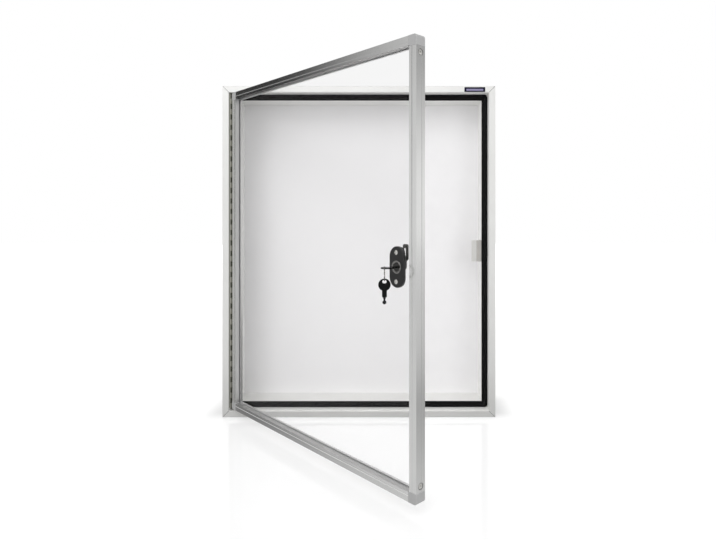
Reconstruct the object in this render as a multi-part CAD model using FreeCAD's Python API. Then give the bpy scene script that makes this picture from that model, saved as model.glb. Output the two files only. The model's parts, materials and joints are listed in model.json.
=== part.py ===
import FreeCAD, Part
import math
import os

# Lockable display case for notices: mitred aluminium case, hinged glazed door, cam lock with keys.
# Millimetres. +X right, -Y towards the reader, +Z up. The origin is the centre of the rear plane.
# The door is built shut and then turned about its hinge to the angle at which it rests.

# Case
case_width = 546.0
case_height = 662.0
case_depth = 80.0
frame_wall = 1.6
rim_width = 12.5
groove_depth = 10.0
rear_lip = 1.4
panel_thickness = 1.0
backing_thickness = 3.0
panel_edge_gap = 0.2

# Seal on the ledge behind the door
seal_width = 11.7
seal_base = 2.3
seal_ridge_height = 1.2
seal_ridge_width = 3.9
seal_corner_radius = 6.0
seal_gap = 0.3

# Screws, rivets and their holes
fastener_sides = 8

# Corner cleats inside the frame
cleat_leg = 60.0
cleat_depth = 30.0
cleat_wall = 3.0
cleat_setback = 12.0
cleat_gap = 0.15

# Door
door_open_angle = 45.6
door_setback = 2.3
door_thickness = 17.2
door_face = 13.4
door_wall = 1.3
door_side_gap = 1.2
door_top_gap = 1.7
door_bottom_gap = 4.7
pane_thickness = 4.0
pane_setback = 8.4
pane_bite = 5.8
gasket_thickness = 0.8
gasket_lip = 0.4
groove_floor_gap = 0.1
face_line_place = 8.2
side_line_place = 10.8
line_width = 1.2
line_depth = 0.25

# Door corner pieces and their screws
corner_size = 15.0
corner_proud = 0.25
corner_radius = 4.5
corner_leg = 21.0
corner_leg_gap = 0.2
corner_screw_offset = 23.4
corner_screw_recess_radius = 4.5
corner_screw_head_radius = 3.6
corner_screw_shank_radius = 1.4

# Piano hinge
barrel_radius = 2.7
pin_radius = 1.2
pin_gap = 0.05
barrel_sides = 8
bore_sides = 6
leaf_thickness = 1.2
leaf_gap = 0.3
leaf_depth = 14.2
knuckle_length = 10.5
knuckle_gap = 0.3
rivet_count = 6
rivet_end = 40.0
rivet_radius = 1.6
rivet_head_radius = 3.0
rivet_head_height = 0.8
rivet_hole_gap = 0.05

# Lock
lock_backset = 42.8
lock_plate_height = 58.0
lock_plate_width = 29.0
lock_plate_thickness = 4.3
lock_plate_bevel = 1.2
inner_plate_thickness = 3.0
inner_plate_height = 55.0
inner_plate_width = 13.6
lock_screw_spacing = 40.8
lock_screw_radius = 1.9
lock_screw_head_radius = 3.4
lock_screw_head_height = 0.9
lock_screw_slot = 1.0
housing_radius = 9.5
housing_nose_radius = 5.4
housing_proud = 0.8
housing_length = 15.4
plug_radius = 6.0
plug_nose_radius = 3.9
plug_recess = 0.6
plug_step = 7.5
plug_square = 5.0
lock_fit_gap = 0.05
lock_hole_gap = 0.2

# Cranked cam with a hook, on the back of the plug
cam_end_gap = 0.7
cam_hub_gap = 0.4
cam_thickness = 2.0
cam_crank = 3.7
cam_crank_start = 7.4
cam_crank_end = 10.2
cam_hub_radius = 4.9
cam_hook_radius = 3.1
cam_hook_throat = 1.0
cam_hook_width = 10.1
cam_arm_width = 3.9
cam_screw_head_radius = 3.3
cam_screw_head_height = 1.3
cam_screw_radius = 1.5
cam_screw_depth = 4.0

# Keys
bow_radius = 8.4
bow_thickness = 1.7
bow_hole_offset = 4.2
bow_hole_radius = 2.3
bow_hole_spread = 0.65
collar_length = 8.2
collar_width = 6.6
blade_thickness = 1.2
blade_length = 9.9
blade_waist = 2.6
blade_tip_radius = 2.7
blade_tang = 6.0
key_stand_off = 0.4
keyway_end_gap = 0.3
keyway_gap = 0.15

# Key ring
ring_radius = 9.4
ring_wire_radius = 0.65
ring_seat_gap = 0.3
ring_outward = 1.0
ring_wire_sides = 6

# Strike on the case wall opposite the hinge
strike_height = 43.0
strike_thickness = 1.5
strike_reach = 20.1
strike_lip = 9.7
strike_lip_rise = 1.4
strike_leg = 22.0
strike_setback = 0.7
strike_screw_spacing = 26.0
strike_screw_depth = 15.0
strike_screw_radius = 1.6
strike_screw_head_radius = 3.2
strike_screw_head_height = 1.2
cam_clearance = 0.8
slot_clearance = 0.7

# Plain plate on the rim, and threaded inserts in the back
name_plate_width = 41.6
name_plate_height = 9.6
name_plate_thickness = 0.6
name_plate_side_offset = 20.4
name_plate_drop = 0.7
name_plate_radius = 1.2
insert_spacing = 520.0
insert_bore_radius = 2.5
insert_radius = 4.5
insert_flange_radius = 5.5
insert_flange_thickness = 0.8
insert_length = 12.0
insert_gap = 0.05

# Places that follow from the sizes above
seal_height = seal_base + seal_ridge_height
ledge_width = seal_width + seal_gap
door_recess = door_setback + door_thickness + seal_gap + seal_height
inner_edge = rim_width + ledge_width
ledge_level = case_depth - door_recess
panel_rear = rear_lip
panel_front = rear_lip + backing_thickness + panel_thickness
chamber_floor = panel_front + frame_wall
groove_floor = inner_edge - groove_depth
rear_chamber_width = groove_floor - frame_wall

hinge_inset = leaf_thickness + leaf_gap + barrel_radius
hinge_x = rim_width - case_width / 2 + hinge_inset
hinge_y = barrel_radius - case_depth
door_left = hinge_x + hinge_inset
door_right = case_width / 2 - rim_width - door_side_gap
door_width = door_right - door_left
door_height = case_height - 2 * rim_width - door_top_gap - door_bottom_gap
door_lift = (door_bottom_gap - door_top_gap) / 2
door_middle = (door_left + door_right) / 2
door_front_y = door_setback - case_depth

pane_front = pane_setback
pane_rear = pane_setback + pane_thickness
groove_front = pane_front - gasket_thickness
groove_rear = pane_rear + gasket_thickness
door_groove_floor = door_face - pane_bite - gasket_thickness - groove_floor_gap

lock_x = door_width / 2 - lock_backset
plate_front = pane_front - lock_plate_thickness
inner_plate_rear = pane_rear + inner_plate_thickness
housing_front = plate_front - housing_proud
housing_rear = housing_front + housing_length
cam_front = housing_rear + cam_hub_gap
cam_rear = cam_front + cam_thickness
arm_front = cam_front + cam_crank
arm_rear = arm_front + cam_thickness
key_tip = key_stand_off + 2 * bow_radius + collar_length
key_base = housing_front - key_stand_off
wall_x = case_width / 2 - inner_edge
lock_case_x = door_middle + lock_x
cam_reach = wall_x - lock_case_x - cam_end_gap
cam_level = case_depth - door_setback - arm_front

X_AXIS = FreeCAD.Vector(1, 0, 0)
Y_AXIS = FreeCAD.Vector(0, 1, 0)
Z_AXIS = FreeCAD.Vector(0, 0, 1)
ORIGIN = FreeCAD.Vector(0, 0, 0)


def vector(x, y, z):
    return FreeCAD.Vector(x, y, z)


def box(low, high):
    size = [high[i] - low[i] for i in range(3)]
    return Part.makeBox(size[0], size[1], size[2], vector(*low))


def face_of(points):
    return Part.Face(Part.makePolygon(points + [points[0]]))


def plate_xz(outline, y_low, y_high):
    # A flat piece: an outline in X and Z, from one depth to the other.
    points = [vector(x, y_low, z) for x, z in outline]
    return face_of(points).extrude(vector(0, y_high - y_low, 0))


def rounded_plate(half_x, half_z, radius, y_low, y_high):
    # A rectangle with round corners, between two depths.
    block = box((-half_x, y_low, -half_z), (half_x, y_high, half_z))
    upright = [edge for edge in block.Edges if abs(edge.tangentAt(edge.FirstParameter).y) > 0.9]
    return block.makeFillet(radius, upright)


def obround(width, height, y_low, y_high):
    # An upright plate with half-round ends.
    return rounded_plate(width / 2, height / 2, width / 2 - 0.001, y_low, y_high)


def round_bar(radius, start, end):
    # A cylinder between two points.
    along = end - start
    return Part.makeCylinder(radius, along.Length, start, along)


def depth_bar(radius, x, z, y_low, y_high):
    return round_bar(radius, vector(x, y_low, z), vector(x, y_high, z))


def sided_bar(radius, start, end, sides):
    # A bar with flats between two points; its flats touch the radius, so it also serves as a hole.
    along = end - start
    turn = FreeCAD.Rotation(Z_AXIS, along)
    corner = radius / math.cos(math.pi / sides)
    points = []
    for i in range(sides):
        angle = 2 * math.pi * (i + 0.5) / sides
        points.append(start + turn.multVec(vector(corner * math.cos(angle), corner * math.sin(angle), 0)))
    return face_of(points).extrude(along)


def fastener_bar(radius, start, end):
    # Shanks, heads and their holes repeat often, so they have few faces.
    return sided_bar(radius, start, end, fastener_sides)


def fastener_depth_bar(radius, x, z, y_low, y_high):
    return fastener_bar(radius, vector(x, y_low, z), vector(x, y_high, z))


def fused(shapes):
    whole = shapes[0]
    for shape in shapes[1:]:
        whole = whole.fuse(shape)
    return whole.removeSplitter()


def group(shapes):
    return Part.makeCompound(shapes)


def spread(count, length):
    # Evenly spaced places along a length, centred on zero.
    step = length / (count - 1)
    return [step * i - length / 2 for i in range(count)]


def on_door(shape):
    # Door pieces are made about the middle of the door's front face, then shut into the case and opened.
    placed = shape.copy()
    placed.translate(vector(door_middle, door_front_y, door_lift))
    placed.rotate(vector(hinge_x, hinge_y, 0), Z_AXIS, -door_open_angle)
    return placed


def point_on_door(x, y, z):
    turn = FreeCAD.Rotation(Z_AXIS, -door_open_angle)
    hinge = vector(hinge_x, hinge_y, 0)
    shut = vector(door_middle + x, door_front_y + y, door_lift + z)
    return hinge + turn.multVec(shut - hinge)


def save(name, shape):
    shape.exportStep("parts/" + name + ".step")


# Case frame: one hollow section, cut to four mitred lengths.
def frame_section(edge, start):
    # Section across the top bar: u runs inward from the outside edge, d forward from the wall.
    outline = [
        (0, 0),
        (0, case_depth),
        (rim_width, case_depth),
        (rim_width, ledge_level),
        (inner_edge, ledge_level),
        (inner_edge, panel_front),
        (groove_floor, panel_front),
        (groove_floor, panel_rear),
        (inner_edge, panel_rear),
        (inner_edge, 0),
    ]
    chamber = [
        (frame_wall, frame_wall),
        (frame_wall, case_depth - frame_wall),
        (rim_width - frame_wall, case_depth - frame_wall),
        (rim_width - frame_wall, ledge_level - frame_wall),
        (inner_edge - frame_wall, ledge_level - frame_wall),
        (inner_edge - frame_wall, chamber_floor),
        (groove_floor - frame_wall, chamber_floor),
        (groove_floor - frame_wall, frame_wall),
    ]
    outer = face_of([vector(start, -d, edge - u) for u, d in outline])
    inner = face_of([vector(start, -d, edge - u) for u, d in chamber])
    return outer.cut(inner)


def frame_bar(length, edge, turn):
    bar = frame_section(edge, -length / 2).extrude(vector(length, 0, 0))
    mitre = plate_xz(
        [
            (-length / 2, edge),
            (length / 2, edge),
            (length / 2 - inner_edge, edge - inner_edge),
            (inner_edge - length / 2, edge - inner_edge),
        ],
        -case_depth,
        0,
    )
    bar = bar.common(mitre)
    bar.rotate(ORIGIN, Y_AXIS, turn)
    return bar


def insert_places():
    x = case_width / 2 - frame_wall - rear_chamber_width / 2 + frame_wall / 2
    z = insert_spacing / 2
    return [(x, z), (x, -z), (-x, z), (-x, -z)]


def insert_holes():
    holes = []
    for x, z in insert_places():
        back = vector(x, 0, z)
        front = vector(x, -2 * frame_wall, z)
        holes.append(sided_bar(insert_radius + insert_gap, front, back, 6))
        sink = vector(x, -insert_flange_thickness, z)
        holes.append(fastener_bar(insert_flange_radius + insert_gap, sink, back))
    return group(holes)


def threaded_inserts():
    # Hexagonal bodies, so that they can't turn in the frame.
    nuts = []
    for x, z in insert_places():
        back = vector(x, 0, z)
        sleeve = sided_bar(insert_radius, vector(x, -insert_length, z), back, 6)
        flange = fastener_bar(insert_flange_radius, vector(x, -insert_flange_thickness, z), back)
        bore = depth_bar(insert_bore_radius, x, z, -insert_length, 0)
        nuts.append(sleeve.fuse(flange).cut(bore).removeSplitter())
    return group(nuts)


def corner_cleats():
    corner_x = case_width / 2 - frame_wall - cleat_gap
    corner_z = case_height / 2 - frame_wall - cleat_gap
    leg_width = inner_edge - 2 * frame_wall - 2 * cleat_gap
    y_front = -cleat_setback - cleat_depth

    def angle(inset):
        x = corner_x - inset
        z = corner_z - inset
        thick = leg_width - 2 * inset
        reach = cleat_leg - 2 * inset
        outline = [
            (x, z),
            (x - reach, z),
            (x - reach, z - thick),
            (x - thick, z - thick),
            (x - thick, z - reach),
            (x, z - reach),
        ]
        return plate_xz(outline, y_front, -cleat_setback)

    cleat = angle(0).cut(angle(cleat_wall))
    right = [cleat, cleat.mirror(ORIGIN, Z_AXIS)]
    left = [shape.mirror(ORIGIN, X_AXIS) for shape in right]
    return group(right + left)


def sheet(y_low, y_high):
    half_x = case_width / 2 - groove_floor - panel_edge_gap
    half_z = case_height / 2 - groove_floor - panel_edge_gap
    return box((-half_x, y_low, -half_z), (half_x, y_high, half_z))


def door_seal():
    # A flat strip with a raised ridge along its middle, turned round the four corners.
    half_x = case_width / 2 - rim_width - seal_gap
    half_z = case_height / 2 - rim_width - seal_gap

    def strip(inset, width, y_low, y_high):
        radius = max(seal_corner_radius - inset / 2, 0.5)
        outer = rounded_plate(half_x - inset, half_z - inset, radius, y_low, y_high)
        inside = inset + width
        radius = max(seal_corner_radius - inside / 2, 0.5)
        return outer.cut(rounded_plate(half_x - inside, half_z - inside, radius, y_low, y_high))

    base_front = -ledge_level - seal_base
    base = strip(0, seal_width, base_front, -ledge_level)
    ridge_inset = (seal_width - seal_ridge_width) / 2
    ridge = strip(ridge_inset, seal_ridge_width, base_front - seal_ridge_height, base_front)
    return base.fuse(ridge).removeSplitter()


# Hinge: two strips with knuckles taken in turn, on one pin.
def knuckle_places():
    pairs = max(round(door_height / knuckle_length / 2), 1)
    count = 2 * pairs
    step = door_height / count
    return [(i * step - door_height / 2, step) for i in range(count)]


def hinge_leaf(side, turn_on):
    # side is -1 for the leaf on the case and 1 for the leaf on the door; turn_on picks its knuckles.
    half = door_height / 2
    near = barrel_radius + leaf_gap
    far = near + leaf_thickness
    low, high = sorted((side * near, side * far))
    strip = box((low, 0, -half), (high, leaf_depth, half))
    pieces = [strip]
    for i, (start, step) in enumerate(knuckle_places()):
        if i % 2 != turn_on:
            continue
        bottom = start + knuckle_gap / 2
        top = start + step - knuckle_gap / 2
        barrel = sided_bar(barrel_radius, vector(0, 0, bottom), vector(0, 0, top), barrel_sides)
        low_x, high_x = sorted((0, side * near))
        neck = box((low_x, barrel_radius / 4, bottom), (high_x, barrel_radius, top))
        pieces.append(barrel.fuse(neck))
    leaf = strip.fuse(pieces[1:]).removeSplitter()
    bore = sided_bar(pin_radius + pin_gap, vector(0, 0, -half - 1), vector(0, 0, half + 1), bore_sides)
    leaf = leaf.cut(bore)
    return leaf.cut(rivet_row(side, rivet_hole_gap))


def rivet_row(side, gap):
    # Flat-headed rivets through a leaf into the section beside it.
    near = barrel_radius + leaf_gap
    y = (leaf_depth + barrel_radius) / 2
    wall = frame_wall if side < 0 else door_wall
    rivets = []
    for z in spread(rivet_count, door_height - 2 * rivet_end):
        end = near + leaf_thickness + wall + 1.0
        shank = fastener_bar(rivet_radius + gap, vector(side * near, y, z), vector(side * end, y, z))
        if gap == 0:
            head_top = near - rivet_head_height
            head = fastener_bar(rivet_head_radius, vector(side * head_top, y, z), vector(side * near, y, z))
            shank = shank.fuse(head).removeSplitter()
        rivets.append(shank)
    return group(rivets)


def at_hinge(shape):
    placed = shape.copy()
    placed.translate(vector(hinge_x, hinge_y, door_lift))
    return placed


def at_hinge_open(shape):
    placed = at_hinge(shape)
    placed.rotate(vector(hinge_x, hinge_y, 0), Z_AXIS, -door_open_angle)
    return placed


def hinge_pin():
    half = door_height / 2
    return at_hinge(round_bar(pin_radius, vector(0, 0, -half), vector(0, 0, half)))


# Door frame: one hollow section with a channel for the pane, cut square between corner pieces.
def door_chamber(gap):
    # The hollow inside the section, drawn smaller by a gap for what goes into it.
    wall = door_wall + gap
    inner = door_groove_floor - wall
    return [
        (wall, wall),
        (door_face - wall, wall),
        (door_face - wall, groove_front - wall),
        (inner, groove_front - wall),
        (inner, groove_rear + wall),
        (door_face - wall, groove_rear + wall),
        (door_face - wall, door_thickness - wall),
        (wall, door_thickness - wall),
    ]


def leg_outline():
    # The corner leg fills the outside and rear of the hollow, not the thin part behind the face.
    wall = door_wall + corner_leg_gap
    inner = door_groove_floor - wall
    return [
        (wall, wall),
        (inner, wall),
        (inner, groove_rear + wall),
        (door_face - wall, groove_rear + wall),
        (door_face - wall, door_thickness - wall),
        (wall, door_thickness - wall),
    ]


def along_top(outline, edge, start, end):
    face = face_of([vector(start, q, edge - p) for p, q in outline])
    return face.extrude(vector(end - start, 0, 0))


def door_outline(side_line):
    # p runs inward from the door's edge, q backward from its face. Shallow lines run along face and side.
    near = line_width / 2
    outline = [
        (0, 0),
        (face_line_place - near, 0),
        (face_line_place, line_depth),
        (face_line_place + near, 0),
        (door_face, 0),
        (door_face, groove_front),
        (door_groove_floor, groove_front),
        (door_groove_floor, groove_rear),
        (door_face, groove_rear),
        (door_face, door_thickness),
        (0, door_thickness),
    ]
    if side_line:
        outline.append((0, side_line_place + near))
        outline.append((line_depth, side_line_place))
        outline.append((0, side_line_place - near))
    return outline


def door_bar(length, edge, turn, side_line=True):
    outline = door_outline(side_line)
    half = length / 2 - corner_size
    bar = along_top(outline, edge, -half, half)
    bar = bar.cut(along_top(door_chamber(0), edge, -half, half))
    bar.rotate(ORIGIN, Y_AXIS, turn)
    return bar


def corner_piece(right, up):
    # A moulded block that closes the corner, with a leg up each section. Made for the top right corner.
    edge_x = door_width / 2
    edge_z = door_height / 2
    half_x = edge_x + corner_proud * (right > 0)
    half_z = edge_z + corner_proud
    head = box((edge_x - corner_size, -corner_proud, edge_z - corner_size), (half_x, door_thickness, half_z))
    outer = [e for e in head.Edges if abs(e.CenterOfMass.x - half_x) < 0.01 and abs(e.CenterOfMass.z - half_z) < 0.01]
    head = head.makeFillet(corner_radius, outer)
    pocket_x = edge_x - door_groove_floor
    pocket_z = edge_z - door_groove_floor
    pocket = box((0, groove_front, 0), (pocket_x, groove_rear, pocket_z))
    window = box((0, -1, 0), (edge_x - door_face, door_thickness + 1, edge_z - door_face))
    leg = along_top(leg_outline(), edge_z, edge_x - corner_size - corner_leg, edge_x - corner_size)
    upright = along_top(leg_outline(), edge_x, corner_size - edge_z, corner_size + corner_leg - edge_z)
    upright.rotate(ORIGIN, Y_AXIS, 90)
    piece = head.cut(pocket).cut(window).fuse([leg, upright]).removeSplitter()
    for hole in corner_screw_row(corner_screw_shank_radius + corner_leg_gap, 0):
        piece = piece.cut(hole)
    if right < 0:
        piece = piece.mirror(ORIGIN, X_AXIS)
    if up < 0:
        piece = piece.mirror(ORIGIN, Z_AXIS)
    return piece


def corner_screw_row(shank_radius, head_radius):
    # One screw into each leg of the top right corner: first the rail's, then the stile's.
    edge_x = door_width / 2
    edge_z = door_height / 2
    y = door_thickness / 2
    seat = door_wall + corner_leg_gap
    end = door_groove_floor - door_wall
    x = edge_x - corner_screw_offset
    z = edge_z - corner_screw_offset
    rail = fastener_bar(shank_radius, vector(x, y, edge_z - seat), vector(x, y, edge_z - end))
    stile = fastener_bar(shank_radius, vector(edge_x - seat, y, z), vector(edge_x - end, y, z))
    if head_radius:
        top = corner_leg_gap
        rail = rail.fuse(fastener_bar(head_radius, vector(x, y, edge_z - top), vector(x, y, edge_z - seat)))
        stile = stile.fuse(fastener_bar(head_radius, vector(edge_x - top, y, z), vector(edge_x - seat, y, z)))
    return [rail, stile]


def corner_screws():
    rail, stile = corner_screw_row(corner_screw_shank_radius, corner_screw_head_radius)
    pair = [rail.removeSplitter(), stile.removeSplitter()]
    far_rail = pair[0].mirror(ORIGIN, X_AXIS)
    top = pair + [far_rail]
    return group(top + [shape.mirror(ORIGIN, Z_AXIS) for shape in top])


def screw_windows():
    # Round openings in the outside walls that show the screw heads.
    edge_x = door_width / 2
    edge_z = door_height / 2
    y = door_thickness / 2
    x = edge_x - corner_screw_offset
    z = edge_z - corner_screw_offset
    radius = corner_screw_recess_radius
    windows = []
    for way in (1, -1):
        start = vector(edge_x + 1, y, way * z)
        windows.append(fastener_bar(radius, start, vector(edge_x - door_wall, y, way * z)))
        for side in (1, -1):
            start = vector(side * x, y, way * (edge_z + 1))
            windows.append(fastener_bar(radius, start, vector(side * x, y, way * (edge_z - door_wall))))
    return group(windows)


def pane_block(gap):
    half_x = door_width / 2 - door_face + pane_bite + gap
    half_z = door_height / 2 - door_face + pane_bite + gap
    return box((-half_x, pane_front, -half_z), (half_x, pane_rear, half_z))


def pane():
    sheet_glass = pane_block(0)
    hole = depth_bar(housing_radius + lock_hole_gap, lock_x, 0, pane_front, pane_rear)
    sheet_glass = sheet_glass.cut(hole)
    for z in (-lock_screw_spacing / 2, lock_screw_spacing / 2):
        screw = fastener_depth_bar(lock_screw_radius + lock_hole_gap, lock_x, z, pane_front, pane_rear)
        sheet_glass = sheet_glass.cut(screw)
    return sheet_glass


def pane_gasket():
    outer_x = door_width / 2 - door_face + pane_bite + gasket_thickness
    outer_z = door_height / 2 - door_face + pane_bite + gasket_thickness
    inner_x = door_width / 2 - door_face - gasket_lip
    inner_z = door_height / 2 - door_face - gasket_lip
    channel = box((-outer_x, groove_front, -outer_z), (outer_x, groove_rear, outer_z))
    opening = box((-inner_x, groove_front, -inner_z), (inner_x, groove_rear, inner_z))
    return channel.cut(opening).cut(pane_block(0))


# Lock: two plates clamp the pane, the housing passes through it, and the plug turns in the housing.
def lock_plate():
    plate = obround(lock_plate_width, lock_plate_height, plate_front, pane_front)
    front = [e for e in plate.Edges if abs(e.CenterOfMass.y - plate_front) < 0.01]
    plate = plate.makeChamfer(lock_plate_bevel, front)
    plate = plate.cut(depth_bar(housing_radius + lock_fit_gap, 0, 0, plate_front, pane_front))
    for z in (-lock_screw_spacing / 2, lock_screw_spacing / 2):
        plate = plate.cut(fastener_depth_bar(lock_screw_radius + lock_fit_gap, 0, z, plate_front, pane_front))
    return plate


def inner_plate():
    plate = obround(inner_plate_width, inner_plate_height, pane_rear, inner_plate_rear)
    plate = plate.cut(depth_bar(housing_nose_radius + lock_fit_gap, 0, 0, pane_rear, inner_plate_rear))
    for z in (-lock_screw_spacing / 2, lock_screw_spacing / 2):
        plate = plate.cut(fastener_depth_bar(lock_screw_radius + lock_fit_gap, 0, z, pane_rear, inner_plate_rear))
    return plate


def lock_screws():
    screws = []
    head_top = plate_front - lock_screw_head_height
    for z in (-lock_screw_spacing / 2, lock_screw_spacing / 2):
        screw = fastener_depth_bar(lock_screw_radius, 0, z, plate_front, inner_plate_rear)
        head = fastener_depth_bar(lock_screw_head_radius, 0, z, head_top, plate_front)
        half_slot = lock_screw_slot / 2
        reach = lock_screw_head_radius
        low = (-reach, head_top, z - half_slot)
        slot = box(low, (reach, head_top + lock_screw_head_height / 2, z + half_slot))
        screws.append(screw.fuse(head).cut(slot).removeSplitter())
    return group(screws)


def turned(profile):
    # A turned piece on the lock's axis: radius against depth.
    face = face_of([vector(radius, depth, 0) for radius, depth in profile])
    return face.revolve(ORIGIN, Y_AXIS, 360)


def lock_housing():
    step = housing_front + plug_step
    front_bore = plug_radius + lock_fit_gap
    rear_bore = plug_nose_radius + lock_fit_gap
    outline = [
        (front_bore, housing_front),
        (housing_radius - 1.2, housing_front),
        (housing_radius, housing_front + housing_proud),
        (housing_radius, pane_rear),
        (housing_nose_radius, pane_rear),
        (housing_nose_radius, housing_rear),
        (rear_bore, housing_rear),
        (rear_bore, step),
        (front_bore, step),
    ]
    return turned(outline)


def lock_plug():
    plug_front = housing_front + plug_recess
    step = housing_front + plug_step - lock_fit_gap
    outline = [
        (0, plug_front),
        (plug_radius, plug_front),
        (plug_radius, step),
        (plug_nose_radius, step),
        (plug_nose_radius, cam_front),
        (0, cam_front),
    ]
    plug = turned(outline)
    half = plug_square / 2
    plug = plug.fuse(box((-half, cam_front, -half), (half, cam_rear, half)))
    way_half = blade_tip_radius + keyway_gap
    flat_half = blade_thickness / 2 + keyway_gap
    keyway_end = key_base + blade_length + keyway_end_gap
    keyway = box((-way_half, plug_front, -flat_half), (way_half, keyway_end, flat_half))
    plug = plug.cut(keyway)
    screw_end = cam_front - cam_screw_depth
    return plug.cut(fastener_depth_bar(cam_screw_radius, 0, 0, screw_end, cam_rear)).removeSplitter()


def lock_cam():
    # A flat lever, cranked backward above its hub, that ends in a hook.
    # It points up when unlocked and at the strike when locked.
    hook_z = cam_reach - cam_hook_radius
    right = cam_hub_radius
    left = right - cam_arm_width
    crank_left = -cam_hub_radius / 4
    hub = depth_bar(cam_hub_radius, 0, 0, cam_front, cam_rear)
    root = [
        (-cam_hub_radius, 0),
        (-cam_hub_radius, cam_crank_start / 2),
        (crank_left, cam_crank_start),
        (right, cam_crank_start),
        (right, 0),
    ]
    slope = [
        (cam_front, cam_crank_start),
        (cam_rear, cam_crank_start),
        (arm_rear, cam_crank_end),
        (arm_front, cam_crank_end),
    ]
    crank = face_of([vector(crank_left, y, z) for y, z in slope]).extrude(vector(right - crank_left, 0, 0))
    arm = [
        (crank_left, cam_crank_end),
        (left, cam_crank_end + 4.0),
        (left, hook_z),
        (right, hook_z),
        (right, cam_crank_end),
    ]
    hook_x = right - cam_hook_width + cam_hook_radius
    shoulder_x = right - cam_hook_radius
    bridge = box((hook_x, arm_front, hook_z), (shoulder_x, arm_rear, hook_z + cam_hook_radius))
    shoulder = depth_bar(cam_hook_radius, shoulder_x, hook_z, arm_front, arm_rear)
    hook = depth_bar(cam_hook_radius, hook_x, hook_z, arm_front, arm_rear)
    cam = plate_xz(root, cam_front, cam_rear).fuse([hub, crank, plate_xz(arm, arm_front, arm_rear)])
    cam = cam.fuse([bridge, shoulder, hook])
    throat_x = left - cam_hook_throat
    throat = depth_bar(cam_hook_throat, throat_x, hook_z - cam_hook_throat, arm_front, arm_rear)
    mouth_low = (throat_x - cam_hook_throat, arm_front, hook_z - 2 * cam_hook_radius)
    mouth = box(mouth_low, (left, arm_rear, hook_z - cam_hook_throat))
    cam = cam.cut(throat.fuse(mouth)).removeSplitter()
    half = plug_square / 2 + lock_fit_gap
    return cam.cut(box((-half, cam_front - 1, -half), (half, cam_rear + 1, half)))


def cam_screw():
    shank = fastener_depth_bar(cam_screw_radius, 0, 0, cam_front - cam_screw_depth, cam_rear)
    head = fastener_depth_bar(cam_screw_head_radius, 0, 0, cam_rear, cam_rear + cam_screw_head_height)
    return head.fuse(shank).removeSplitter()


def at_lock(shape):
    placed = shape.copy()
    placed.translate(vector(lock_x, 0, 0))
    return on_door(placed)


# Keys: drawn flat in X and Z with the tip of the bow at the top and the blade pointing down.
def key_bow():
    y_low = -bow_thickness / 2
    y_high = bow_thickness / 2
    bow = depth_bar(bow_radius, 0, -bow_radius, y_low, y_high)
    collar_end = -2 * bow_radius - collar_length
    half = collar_width / 2
    collar = box((-half, y_low, collar_end), (half, y_high, -bow_radius))
    bow = bow.fuse(collar).removeSplitter()
    holes = []
    for x in (-bow_hole_spread, bow_hole_spread):
        holes.append(depth_bar(bow_hole_radius, x, -bow_hole_offset, y_low, y_high))
    low = (-bow_hole_spread, y_low, -bow_hole_offset - bow_hole_radius)
    high = (bow_hole_spread, y_high, -bow_hole_offset + bow_hole_radius)
    holes.append(box(low, high))
    bow = bow.cut(fused(holes))
    return bow.cut(tang())


def tang():
    end = -2 * bow_radius - collar_length
    half = blade_waist / 2
    flat = blade_thickness / 2
    return box((-half, -flat, end), (half, flat, end + blade_tang))


def key_blade():
    end = -2 * bow_radius - collar_length
    flat = blade_thickness / 2
    half = blade_waist / 2
    tip = end - blade_length + blade_tip_radius
    stem = box((-half, -flat, tip), (half, flat, end + blade_tang))
    root = blade_tip_radius * 0.8
    shoulder = plate_xz([(-root, end), (root, end), (half, end - 3.0), (-half, end - 3.0)], -flat, flat)
    round_end = depth_bar(blade_tip_radius, 0, tip, -flat, flat)
    return stem.fuse([shoulder, round_end]).removeSplitter()


def in_lock(shape):
    # Lays the key flat and points its blade into the door, with the collar just clear of the housing.
    placed = shape.copy()
    placed.rotate(ORIGIN, X_AXIS, 90)
    placed.translate(vector(0, key_base - 2 * bow_radius - collar_length, 0))
    return at_lock(placed)


def ring_centre():
    # The ring hangs in the inserted key's hole and round the bow's edge, square to the reader's view.
    hole_y = key_base - collar_length - 2 * bow_radius + bow_hole_offset
    hole = point_on_door(lock_x, hole_y, bow_thickness / 2)
    inside = ring_radius - ring_wire_radius
    edge = bow_hole_offset + ring_outward
    rim = edge - bow_hole_radius * 0.85
    top = math.sqrt(inside**2 - rim**2) - ring_seat_gap
    return vector(hole.x, hole.y - edge, hole.z - top)


def key_ring():
    # The wire has flats, turned round the ring's centre.
    centre = ring_centre()
    points = []
    for i in range(ring_wire_sides):
        angle = 2 * math.pi * (i + 0.5) / ring_wire_sides
        out = ring_radius + ring_wire_radius * math.cos(angle)
        points.append(centre + vector(ring_wire_radius * math.sin(angle), out, 0))
    return face_of(points).revolve(centre, X_AXIS, 360)


def on_ring(shape):
    # The spare key hangs by its hole from the bottom of the ring and faces the reader.
    centre = ring_centre()
    hang = bow_hole_offset - bow_hole_radius + ring_seat_gap + ring_wire_radius
    placed = shape.copy()
    placed.translate(vector(centre.x, centre.y, centre.z - ring_radius + hang))
    return placed


# Strike: a bent plate on the case wall. The cam swings in behind its front.
def strike_level():
    return cam_level + cam_clearance


def strike_slot():
    # The opening in the plate on the wall that lets the cam's end swing in.
    reach = cam_reach + slot_clearance
    wall = wall_x - strike_thickness - lock_case_x - slot_clearance
    top = door_lift + math.sqrt(max(reach**2 - wall**2, 16.0))
    bottom = door_lift - cam_hub_radius - slot_clearance
    level = strike_level()
    rear = cam_thickness + 2 * cam_clearance - level
    return box((wall_x - strike_thickness - 0.1, -level, bottom), (wall_x + 0.1, rear, top))


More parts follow.
